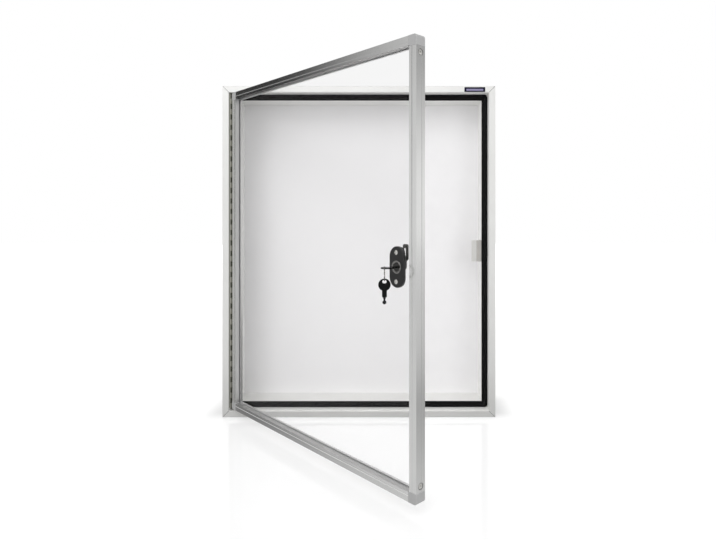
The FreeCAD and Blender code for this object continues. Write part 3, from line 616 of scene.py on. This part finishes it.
lock = {
    "plateBore": 9.55,
    "screwHole": 1.95,
    "screwSpacing": 40.8,
    "plateRim": ((0, 1.4), (0.15, 1.02), (0.4, 0.68), (0.74, 0.34), (1.1, 0.1), (1.5, 0)),  # depth, inset
    "arcSteps": 20,
    # depth and radius over the ring, from the plate inward, then down to the bore
    "ring": ((0.8, 9.5), (0.5, 9.36), (0.26, 9.06), (0.09, 8.62), (0.0, 8.1), (0.05, 7.55), (0.2, 7.05)),
    "ringInside": ((0.42, 6.6), (0.75, 6.24), (1.2, 6.05)),
    "step": 7.5,
    "nose": 5.4,
    "noseBore": 3.95,
    "segments": 64,
}


def spansOf(node, ways):
    # How far a node's form reaches along each way, from end to end.
    spans = []
    for way in ways:
        reach = [vert.co.dot(way) for vert in nodes[node].data.vertices]
        spans.append((min(reach), max(reach)))
    return spans


def onLockAxis(level):
    # The point of the lock's axis at this distance into the door.
    return lockPoint + intoDoor * (level - lockPoint.dot(intoDoor))


def lockPlate():
    # Die cast with round ends and a rounded rim, bored for the barrel and drilled for two screws.
    (left, right), (bottom, top), (front, back) = spansOf("lock_plate", (doorAlong, upward, intoDoor))
    middle = doorAlong * (left + right) / 2 + upward * (bottom + top) / 2
    radius = (right - left) / 2
    straight = (top - bottom) / 2 - radius
    work = bmesh.new()
    loops = []
    for depth, inset in (*lock["plateRim"], ((back - front) / mm, 0)):
        reach = radius - inset * mm
        loop = []
        for first, lift in ((0, straight), (180, -straight)):
            for i in range(lock["arcSteps"] + 1):
                angle = math.radians(first + 180 * i / lock["arcSteps"])
                place = middle + intoDoor * (front + depth * mm)
                place += doorAlong * reach * math.cos(angle) + upward * (lift + reach * math.sin(angle))
                loop.append(work.verts.new(place))
        loops.append(loop)
    joinLoops(work, loops)
    piece = addPiece("lockPlate", toMesh("lockPlate", work, sharpTurned), "black", "lock_plate")
    centre = onLockAxis(front)
    through = back - front + beyond
    cutAway(piece, roundTool([centre], intoDoor, lock["plateBore"] * mm, -beyond, through, lock["segments"]))
    half = upward * lock["screwSpacing"] / 2 * mm
    holes = [centre + half, centre - half]
    cutAway(piece, roundTool(holes, intoDoor, lock["screwHole"] * mm, -beyond, through))
    softenEdges(piece, 0)


def lockHousing():
    # Die cast barrel: a rounded ring before the plate, a bore for the plug, a narrower nose behind.
    front, back = spansOf("lock_housing", (intoDoor,))[0]
    paneRear = spansOf("pane", (intoDoor,))[0][1] - front
    end = back - front
    step = lock["step"] * mm
    nose = lock["nose"] * mm
    noseBore = lock["noseBore"] * mm
    profile = [(depth * mm, radius * mm) for depth, radius in reversed(lock["ring"] + lock["ringInside"])]
    bore = profile[0][1]
    barrel = profile[-1][1]
    profile += [(paneRear, barrel), (paneRear, nose), (end, nose), (end, noseBore)]
    profile += [(step, noseBore), (step, bore), profile[0]]
    work = bmesh.new()
    turnedForm(work, profile, onLockAxis(front), intoDoor, lock["segments"])
    bmesh.ops.remove_doubles(work, verts=work.verts, dist=weld)
    addPiece("lockHousing", toMesh("lockHousing", work, sharpTurned), "lock", "lock_housing")


lockPlate()
lockHousing()
print("lock made")

screws = {
    # node: (head radius, dome height, straight edge below it, shank radius, recess, degrees it is turned)
    "strike_screws": (3.2, 0.75, 0.45, 1.6, "cross", 20),
    "lock_screws": (3.4, 0.35, 0.55, 1.9, "slot", 0),
    "lock_cam_screw": (3.3, 0.7, 0.6, 1.5, "cross", 30),
    "door_corner_screws": (3.6, 0.45, 0.8, 1.4, "cross", 25),
    "recesses": {
        # kind: (reach from the middle, width, depth, how narrow it is at its bottom, degrees of its bars)
        "slot": (4.08, 1.0, 0.5, 1.0, (0,)),
        "cross": (1.7, 0.8, 0.9, 0.55, (0, 90)),
    },
    "recessRise": 1.0,  # the cutter stands this far above the head
    "domeSteps": 6,
    "threadStart": 0.6,
    "threadEnd": 1.2,
    "threadPitch": 0.7,
    "threadDepth": 0.25,
    "tip": (0.6, 0.7),  # its length, and its end's share of the shank's radius
    "edge": 0.08,
    "sharp": 50,
    "segments": 40,
}


def screwSolid(headRadius, dome, edge, shankRadius, recess, length):
    # One screw in millimetres, its head's top at the origin and pointing up, with its recess cut.
    profile = domeProfile(dome, headRadius, screws["domeSteps"])
    profile += [(-dome - edge, headRadius), (-dome - edge, shankRadius)]
    level = -dome - edge - screws["threadStart"]
    while level > -length + screws["threadEnd"]:
        profile.append((level, shankRadius))
        profile.append((level - screws["threadPitch"] / 2, shankRadius - screws["threadDepth"]))
        level -= screws["threadPitch"]
    tip, share = screws["tip"]
    profile += [(-length + tip, shankRadius), (-length, shankRadius * share), (-length, 0)]
    work = bmesh.new()
    turnedForm(work, profile, Vector(), upward, screws["segments"])
    piece = bpy.data.objects.new("screw", toMesh("screw", work, sharpTurned))
    bpy.context.scene.collection.objects.link(piece)
    reach, width, depth, narrow, turns = screws["recesses"][recess]
    for turn in turns:
        cutter = bmesh.new()
        bmesh.ops.create_cube(cutter, size=1)
        for vert in cutter.verts:
            share = narrow if vert.co.z < 0 else 1.0
            vert.co.x *= 2 * reach * share
            vert.co.y *= width * share
            vert.co.z = (vert.co.z + 0.5) * (depth + screws["recessRise"]) - depth
        spin = Matrix.Rotation(math.radians(turn), 3, "Z")
        bmesh.ops.rotate(cutter, verts=cutter.verts, cent=(0, 0, 0), matrix=spin)
        cutAway(piece, toolObject(cutter))
    softenEdges(piece, screws["edge"], 1, screws["sharp"])
    solid = piece.data
    bpy.data.objects.remove(piece)
    return solid


def setScrews(work, node, sites, outward):
    # One of the node's screws at each place, its head outward.
    *form, spin = screws[node]
    turn = outward.to_track_quat("Z", "Y").to_matrix().to_4x4() @ Matrix.Rotation(math.radians(spin), 4, "Z")
    for place, length in sites:
        solid = screwSolid(*form, length / mm)
        solid.transform(Matrix.Translation(place) @ turn @ Matrix.Scale(mm, 4))
        work.from_mesh(solid)


def addScrews(work, node):
    # All the node's screws as one piece.
    mesh = bpy.data.meshes.new(pieceName(node))
    work.to_mesh(mesh)
    work.free()
    addPiece(pieceName(node), mesh, "screw", node)


screwWays = {"strike_screws": -rightward, "lock_screws": -intoDoor, "lock_cam_screw": intoDoor}
for node, outward in screwWays.items():
    screwWork = bmesh.new()
    setScrews(screwWork, node, fastenersOf(node, outward), outward)
    addScrews(screwWork, node)
print("screws made")

rivets = {"head": 3.0, "headHeight": 0.8, "shank": 1.6, "domeSteps": 7, "segments": 32, "sharp": 50}


def rivetRow(node, outward):
    # A headed wire at each place, its dome outward.
    work = bmesh.new()
    height = rivets["headHeight"] * mm
    shank = rivets["shank"] * mm
    for place, length in fastenersOf(node, outward):
        profile = domeProfile(height, rivets["head"] * mm, rivets["domeSteps"])
        profile += [(-height, shank), (-length, shank), (-length, 0)]
        turnedForm(work, profile, place, outward, rivets["segments"])
    addPiece(pieceName(node), toMesh(node, work, rivets["sharp"]), "rivet", node)


rivetRow("hinge_rivets_case", rightward)
rivetRow("hinge_rivets_door", -doorAlong)

hinge = {
    "barrel": 2.7,
    "bore": 1.26,
    "pin": 1.2,
    "pinDome": 0.5,
    "pinTip": (0.1, 0.72),  # how far from the pin's end, and its radius there
    "pinSegments": 32,
    "pinSharp": 50,
    "leafNear": 3.0,
    "leafFar": 4.2,
    "leafDepth": 14.2,
    "neckNear": 0.675,  # how far the neck's near face lies from the pin's axis
    "knuckles": 60,
    "gap": 0.3,
    "arcStart": 90,  # degrees where a knuckle's curve begins, and its steps
    "arcStep": 9,
    "edge": 0.18,
    "sharp": 40,
    "litFlank": 0.9,  # the flank beside the case's rim gets a painted highlight from this far off the pin
    "litFlankFacing": 0.3,
}
pinLow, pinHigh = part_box("hinge_pin")


def hingeLeaf(node, finish, side, turn, firstKnuckle):
    # Rolled sheet: a strip whose knuckles curl round the pin, each a smooth tube with a neck into the strip.
    work = bmesh.new()
    low = pinLow.z / mm
    high = pinHigh.z / mm
    step = (high - low) / hinge["knuckles"]
    near = hinge["neckNear"]
    barrel = hinge["barrel"]
    rim = [(hinge["leafNear"], near), (hinge["leafNear"], barrel)]
    last = 360 + math.degrees(math.asin(near / barrel))
    angle = hinge["arcStart"]
    while angle < last:
        rim.append((barrel * math.cos(math.radians(angle)), barrel * math.sin(math.radians(angle))))
        angle += hinge["arcStep"]
    rim.append((barrel * math.cos(math.radians(last)), near))
    count = len(rim)
    for i in range(firstKnuckle, hinge["knuckles"], 2):
        loops = []
        for level in (low + i * step + hinge["gap"] / 2, low + (i + 1) * step - hinge["gap"] / 2):
            outer = [work.verts.new((x, y, level)) for x, y in rim]
            inner = []
            for x, y in rim:
                reach = hinge["bore"] / math.hypot(x, y)
                inner.append(work.verts.new((x * reach, y * reach, level)))
            loops.append((outer, inner))
        (outerLow, innerLow), (outerHigh, innerHigh) = loops
        for j in range(count):
            after = (j + 1) % count
            work.faces.new((outerLow[j], outerLow[after], outerHigh[after], outerHigh[j]))
            work.faces.new((innerLow[after], innerLow[j], innerHigh[j], innerHigh[after]))
            work.faces.new((outerLow[after], outerLow[j], innerLow[j], innerLow[after]))
            work.faces.new((outerHigh[j], outerHigh[after], innerHigh[after], innerHigh[j]))
    for vert in bmesh.ops.create_cube(work, size=1)["verts"]:
        vert.co.x = hinge["leafNear"] + (vert.co.x + 0.5) * (hinge["leafFar"] - hinge["leafNear"])
        vert.co.y = (vert.co.y + 0.5) * hinge["leafDepth"]
        vert.co.z = low + (vert.co.z + 0.5) * (high - low)
    place = Matrix.Translation(Vector((hingeLine.x, hingeLine.y, 0))) @ Matrix.Rotation(-turn, 4, "Z")
    bmesh.ops.transform(work, matrix=place @ Matrix.Diagonal((side * mm, mm, mm, 1)), verts=work.verts)
    piece = addPiece(pieceName(node), toMesh(node, work), finish, node)
    softenEdges(piece, hinge["edge"] * mm, 1, hinge["sharp"])
    # The flank beside the case's rim, where it faces left, gets a painted highlight.
    piece.data.materials.append(finishes["hingeLitFlank"])
    for face in piece.data.polygons:
        beside = face.center.x - hingeLine.x < -hinge["litFlank"] * mm
        if beside and face.normal.x < -hinge["litFlankFacing"]:
            face.material_index = 1


def hingePin():
    # Drawn wire with rounded ends.
    work = bmesh.new()
    middle = Vector((hingeLine.x, hingeLine.y, (pinLow.z + pinHigh.z) / 2))
    half = (pinHigh.z - pinLow.z) / 2
    radius = hinge["pin"] * mm
    dome = hinge["pinDome"] * mm
    deep, narrow = [value * mm for value in hinge["pinTip"]]
    profile = [(-half, 0), (-half + deep, narrow), (-half + dome, radius)]
    profile += [(half - dome, radius), (half - deep, narrow), (half, 0)]
    turnedForm(work, profile, middle, upward, hinge["pinSegments"])
    addPiece("hingePin", toMesh("hingePin", work, hinge["pinSharp"]), "pin", "hinge_pin")


hingeLeaf("hinge_leaf_case", "hingeCase", -1, 0, 0)
hingeLeaf("hinge_leaf_door", "hingeDoor", 1, doorAngle, 1)
hingePin()
print("hinge made")

doorBars = {
    "edge": 0.3,
    "sharp": 14,
    "window": 4.95,  # radius and depth of the seats round the corner screws
    "windowDepth": 1.45,
    "lipDepth": 8.0,
    "lipWithin": 0.3,  # how far from the bar's inner edge the wall's faces may lie
    "lineSlope": (0.2, 0.6),  # how far the drawn line's flanks lean up or down
    "lineArea": 100,  # square millimetres that a flank has at least
    "screwSunk": 1.0,
    "screwLongest": 12.0,
    "bars": {
        # node: (finish, finish of the wall round the pane, way out of the door, whether screws show there)
        "door_rail_top": ("doorAcross", "doorLip", upward, True),
        "door_rail_bottom": ("doorAcross", "doorSill", -upward, True),
        "door_stile_lock": ("doorUpright", "doorLip", doorAlong, True),
        "door_stile_hinge": ("doorUpright", "doorSill", -doorAlong, False),
    },
}


def cornerScrewSites(outward):
    # The corner screws point three ways, so only those whose head lies outward are kept.
    reach = max(vert.co.dot(outward) for vert in nodes["door_corner_screws"].data.vertices)
    sites = []
    for place, length in fastenersOf("door_corner_screws", outward):
        sunk = reach - place.dot(outward)
        if sunk < doorBars["screwSunk"] * mm and length < doorBars["screwLongest"] * mm:
            sites.append((place, length))
    return sites


def lipWallFinish(bar, finish, outward):
    # The wall before the pane, facing its middle, has a finish of its own: painted shade on the top rail and the
    # lock stile, darkest toward the hinge.
    bar.data.materials.append(finishes[finish])
    edge = min(vert.co.dot(outward) for vert in bar.data.vertices)
    front = min(vert.co.dot(intoDoor) for vert in bar.data.vertices)
    for face in bar.data.polygons:
        atEdge = face.center.dot(outward) - edge < doorBars["lipWithin"] * mm
        atFront = face.center.dot(intoDoor) - front < doorBars["lipDepth"] * mm
        if atEdge and atFront and face.normal.dot(outward) < -facing:
            face.material_index = 1


def paintLineHighlight(bar):
    # And so have the flanks of the line that is drawn along a rail: a pale painted highlight.
    bar.data.materials.append(finishes["doorLine"])
    low, high = doorBars["lineSlope"]
    for face in bar.data.polygons:
        flank = low < abs(face.normal.z) < high and face.normal.dot(intoDoor) < 0
        if flank and face.area > doorBars["lineArea"] * mm * mm:
            face.material_index = 2


cornerWork = bmesh.new()
for node, (finish, lip, outward, screwed) in doorBars["bars"].items():
    cutters = []
    if screwed:
        sites = cornerScrewSites(outward)
        places = [place for place, length in sites]
        depth = -doorBars["windowDepth"] * mm
        cutters.append(roundTool(places, outward, doorBars["window"] * mm, depth, 2 * beyond))
        setScrews(cornerWork, "door_corner_screws", sites, outward)
    bar = finished(node, finish, doorBars["edge"], doorBars["sharp"], cutters)
    lipWallFinish(bar, lip, outward)
    if lip == "doorSill":
        paintLineHighlight(bar)
addScrews(cornerWork, "door_corner_screws")
print("door made")

ring = {
    "wireWide": 0.6,
    "wireTall": 1.25,
    "chamfer": 0.16,
    "turns": 2,
    "coilOffset": 0.33,
    "startDegrees": 200,
    "rampDegrees": 35,
    "stepDegrees": 5,
    "sharp": 30,
}


def splitRing():
    # Flat spring wire in two turns side by side, with the step where one turn crosses to the other.
    low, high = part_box("key_ring")
    centre = (low + high) / 2
    wide = ring["wireWide"] * mm / 2
    tall = ring["wireTall"] * mm / 2
    radius = (high.z - low.z) / 2 - tall
    chamfer = ring["chamfer"] * mm
    section = [(wide - chamfer, tall), (wide, tall - chamfer)]
    section += [(x, -y) for x, y in reversed(section)]
    section += [(-x, y) for x, y in reversed(section)]
    ramp = ring["rampDegrees"]
    work = bmesh.new()
    loops = []
    for turned in range(0, 360 * ring["turns"] - ramp + 1, ring["stepDegrees"]):
        share = min(max((turned - 360 + ramp) / ramp, 0), 1)
        share = share * share * (3 - 2 * share)  # eases in and out
        offset = ring["coilOffset"] * mm * (2 * share - 1)
        angle = math.radians(turned + ring["startDegrees"])
        loop = []
        for x, out in section:
            reach = radius + out
            spot = Vector((offset + x, reach * math.cos(angle), reach * math.sin(angle)))
            loop.append(work.verts.new(centre + spot))
        loops.append(loop)
    joinLoops(work, loops)
    addPiece("keyRing", toMesh("keyRing", work, ring["sharp"]), "ring", "key_ring")


splitRing()
print("key ring made")

floorLook = {
    "colour": "#BCBCBC",
    "lift": (0.51, 0.66),  # what the camera sees is white, near and far, kept shadow and all
    "liftReach": (0.6, 3.0),
    "mirrorDeep": (-0.43, -0.12),  # a glow only metal sees, a painted reflection: pale in front, painted shade behind the door and to the right
    "mirrorLevel": (0.80, 0.26),
    "mirrorDip": (0.52, 0.55, 0.62),  # a patch of painted shade in that reflection, to the right: where, how wide, how dark
    "shadowAcross": (0.270, 0.335),  # a soft painted shadow beside the case's foot: from its side outward
    "shadowMiddle": 0.02,
    "shadowDeep": (0.03, 0.085),
    "shadowDepth": 0.24,
    "polish": 0.08,
    "ior": 1.4,
    "half": 6.0,
    "drop": 0.2,
}


def between(span, gives, shape="SMOOTHSTEP"):
    # Settings of a range node: it gives one level at the span's start and the other at its end.
    return {"interpolation_type": shape, 1: span[0], 2: span[1], 3: gives[0], 4: gives[1]}


def paleFloor():
    # White laminate, polished: white to the eye, keeps the object's shadow and a faint mirror image, with a
    # painted shadow beside the case's foot and a painted reflection for metal to see.
    surface = {"Base Color": toLinear("#D8D8D8"), "Roughness": 0.2, "Specular IOR Level": 0.5}
    material, tree, shader, output, place = startMaterial("laminate, pressed white", surface)
    axes = addNode(tree, "SeparateXYZ", {}, {0: place}).outputs
    soft = addNode(tree, "BsdfDiffuse", {"Color": toLinear(floorLook["colour"])})
    shine = addNode(tree, "BsdfGlossy", {"Color": pureWhite, "Roughness": floorLook["polish"]})
    fresnel = addNode(tree, "Fresnel", {"IOR": floorLook["ior"]})
    body = addNode(tree, "MixShader", {}, {0: fresnel.outputs[0], 1: soft.outputs[0], 2: shine.outputs[0]})
    path = addNode(tree, "LightPath")
    seen = {0: path.outputs["Is Camera Ray"], 1: path.outputs["Is Transmission Ray"]}
    direct = addNode(tree, "Math", {"operation": "MAXIMUM"}, seen)
    distance = addNode(tree, "VectorMath", {"operation": "LENGTH"}, {0: place})
    reached = between(floorLook["liftReach"], floorLook["lift"])
    strength = addNode(tree, "MapRange", reached, {0: distance.outputs["Value"]})
    # A soft painted shadow beside the case's foot, taken off the white that the camera sees.
    wide = addNode(tree, "Math", {"operation": "ABSOLUTE"}, {0: axes["X"]})
    fading = between(floorLook["shadowAcross"], (floorLook["shadowDepth"], 0.0), "SMOOTHERSTEP")
    aside = addNode(tree, "MapRange", fading, {0: wide.outputs[0]})
    behind = addNode(tree, "Math", {"operation": "ADD", 1: floorLook["shadowMiddle"]}, {0: axes["Y"]})
    away = addNode(tree, "Math", {"operation": "ABSOLUTE"}, {0: behind.outputs[0]})
    along = addNode(tree, "MapRange", between(floorLook["shadowDeep"], (1.0, 0.0)), {0: away.outputs[0]})
    shadow = addNode(tree, "Math", {"operation": "MULTIPLY"}, {0: aside.outputs[0], 1: along.outputs[0]})
    kept = addNode(tree, "Math", {"operation": "SUBTRACT"}, {0: strength.outputs[0], 1: shadow.outputs[0]})
    lift = addNode(tree, "Emission", {"Color": pureWhite}, {"Strength": kept.outputs[0]})
    lifted = addNode(tree, "AddShader", {}, {0: body.outputs[0], 1: lift.outputs[0]})
    # What metal sees of the floor: a glow, a painted reflection, with painted shade behind the door and to the
    # right.
    deepening = between(floorLook["mirrorDeep"], floorLook["mirrorLevel"], "LINEAR")
    deep = addNode(tree, "MapRange", deepening, {0: axes["Y"]})
    where, reach, dark = floorLook["mirrorDip"]
    right = addNode(tree, "Math", {"operation": "SUBTRACT", 1: where}, {0: axes["X"]})
    apart = addNode(tree, "Math", {"operation": "ABSOLUTE"}, {0: right.outputs[0]})
    across = addNode(tree, "MapRange", between((0.0, reach), (dark, 1.0), "LINEAR"), {0: apart.outputs[0]})
    level = addNode(tree, "Math", {"operation": "MULTIPLY"}, {0: deep.outputs[0], 1: across.outputs[0]})
    paintedMirror = addNode(tree, "Emission", {"Color": pureWhite}, {"Strength": level.outputs[0]})
    layers = {0: fresnel.outputs[0], 1: paintedMirror.outputs[0], 2: shine.outputs[0]}
    mirrored = addNode(tree, "MixShader", {}, layers)
    inMetal = {0: path.outputs["Is Glossy Ray"], 1: shader.outputs[0], 2: mirrored.outputs[0]}
    reflected = addNode(tree, "MixShader", {}, inMetal)
    views = {0: direct.outputs[0], 1: reflected.outputs[0], 2: lifted.outputs[0]}
    tree.links.new(addNode(tree, "MixShader", {}, views).outputs[0], output.inputs["Surface"])
    return material


under = cadBox[0].z - floorLook["drop"] * mm
bpy.ops.mesh.primitive_plane_add(size=floorLook["half"] * 2, location=(0, 0, under))
floor = bpy.context.object
floor.name = "floor"
floor.data.materials.append(paleFloor())

studio = {
    "plain": 0.84,  # what lights paint and plastic
    "inMetal": (0.94, 1.03),  # what metal reflects at its left and at its right
    "side": (0.75, 0.95),  # how far to a side the upper flats begin and are full
    "height": (0.05, 0.30),  # how high they begin and are full
    "heightDepth": (0.24, 0.58),  # how dark they are at the left and at the right
    "leftSide": (-0.75, -0.95),
    "behindLeft": (0.02, 0.19),  # from a white flat at the left to a dark one behind it
    "leftDepth": 1.0,
    "leftTop": (0.42, 0.60),  # the dark flat thins out between these heights
    "leftTopKept": 0.25,  # to this share
    "behindEnd": (0.45, 0.80),
    "cardAcross": (-0.48, -0.64),  # a grey card before the left side
    "cardDeep": (-0.20, -0.45),
    "cardGain": -0.6,
    "cardRight": (0.08, 0.45),
    "rightGain": -0.46,
    "ceiling": (0.40, 0.75),
    "ceilingDepth": 0.5,
}


def studioWorld():
    # White to the eye. Metal sees a pale room with grey flats high at both sides
    # and a dark one behind the left.
    world = bpy.data.worlds.new("studio")
    bpy.context.scene.world = world
    world.use_nodes = True
    tree = world.node_tree
    tree.nodes.clear()
    way = addNode(tree, "SeparateXYZ", {}, {0: addNode(tree, "TexCoord").outputs["Generated"]}).outputs
    wide = addNode(tree, "Math", {"operation": "ABSOLUTE"}, {0: way["X"]})
    aside = addNode(tree, "MapRange", between(studio["side"], (0.0, 1.0)), {0: wide.outputs[0]})
    spans = {"aside": aside.outputs[0]}
    for key, axis, gives in (
        ("height", "Z", (0.0, 1.0)),
        ("leftSide", "X", (0.0, 1.0)),
        ("behindLeft", "Y", (0.0, studio["leftDepth"])),
        ("behindEnd", "Y", (1.0, 0.0)),
        ("leftTop", "Z", (1.0, studio["leftTopKept"])),
        ("cardAcross", "X", (0.0, 1.0)),
        ("cardDeep", "Y", (0.0, 1.0)),
        ("cardRight", "X", (0.0, 1.0)),
        ("ceiling", "Z", (0.0, studio["ceilingDepth"])),
    ):
        shape = "LINEAR" if key == "behindLeft" else "SMOOTHSTEP"
        spans[key] = addNode(tree, "MapRange", between(studio[key], gives, shape), {0: way[axis]}).outputs[0]
    for key in ("heightDepth", "inMetal"):
        slope = between((-1.0, 1.0), studio[key], "LINEAR")
        spans[key] = addNode(tree, "MapRange", slope, {0: way["X"]}).outputs[0]
    level = spans["inMetal"]
    for factors, gain in (
        (("aside", "height", "heightDepth"), -1.0),
        (("leftSide", "behindLeft", "behindEnd", "leftTop"), -1.0),
        (("cardAcross", "cardDeep"), studio["cardGain"]),
        (("cardRight", "cardDeep"), studio["rightGain"]),
        (("ceiling",), -1.0),
    ):
        share = spans[factors[0]]
        for factor in factors[1:]:
            share = addNode(tree, "Math", {"operation": "MULTIPLY"}, {0: share, 1: spans[factor]}).outputs[0]
        kept = addNode(tree, "Math", {"operation": "MULTIPLY_ADD", 1: gain, 2: 1.0}, {0: share})
        level = addNode(tree, "Math", {"operation": "MULTIPLY"}, {0: level, 1: kept.outputs[0]}).outputs[0]
    path = addNode(tree, "LightPath")
    seen = {0: path.outputs["Is Camera Ray"], 1: path.outputs["Is Transmission Ray"]}
    direct = addNode(tree, "Math", {"operation": "MAXIMUM"}, seen)
    roomLight = addNode(tree, "Background", {"Color": pureWhite, "Strength": studio["plain"]})
    inMetal = addNode(tree, "Background", {"Color": pureWhite}, {"Strength": level})
    toEye = addNode(tree, "Background", {"Color": pureWhite, "Strength": 1.0})
    glossy = {0: path.outputs["Is Glossy Ray"], 1: roomLight.outputs[0], 2: inMetal.outputs[0]}
    unseen = addNode(tree, "MixShader", {}, glossy)
    views = {0: direct.outputs[0], 1: unseen.outputs[0], 2: toEye.outputs[0]}
    mix = addNode(tree, "MixShader", {}, views)
    addNode(tree, "OutputWorld", {}, {"Surface": mix.outputs[0]})


studioWorld()

softboxes = {
    # name: (place, target, width and height in metres, watts)
    "key": ((-0.6, -2.0, 1.9), (0, -0.1, 0), (1.8, 1.2), 17.5),
    "fill": ((1.6, -2.2, 0.6), (0, -0.1, 0), (1.0, 1.4), 8.5),
}
for name, (place, target, size, power) in softboxes.items():
    light = bpy.data.lights.new(name, "AREA")
    light.shape = "RECTANGLE"
    light.size, light.size_y = size
    light.energy = power
    lamp = bpy.data.objects.new(name, light)
    lamp.location = place
    lamp.rotation_mode = "QUATERNION"
    lamp.rotation_quaternion = (Vector(target) - Vector(place)).to_track_quat("-Z", "Y")
    lamp.visible_glossy = name == "key"  # the fill only lifts shadows, so metal doesn't mirror it
    bpy.context.scene.collection.objects.link(lamp)

view = {
    "picture": (716, 540),
    "axis": (400.5, 213.5),  # where the camera's axis meets the picture, in pixels from its upper left
    "focal": 548,  # in pixels
    "sensor": 36,
    "place": (0.0832, -1.176, 0.0762),
}
width, height = view["picture"]
axisX, axisY = view["axis"]
cameraData = bpy.data.cameras.new("camera")
cameraData.sensor_width = view["sensor"]
cameraData.lens = view["focal"] / width * view["sensor"]
cameraData.shift_x = (width / 2 - axisX) / width
cameraData.shift_y = (axisY - height / 2) / width
camera = bpy.data.objects.new("camera", cameraData)
camera.location = view["place"]
camera.rotation_euler = (math.radians(90), 0, 0)
bpy.context.scene.collection.objects.link(camera)
bpy.context.scene.camera = camera
bpy.context.scene.view_settings.view_transform = "Standard"
print("room, lights and camera made")
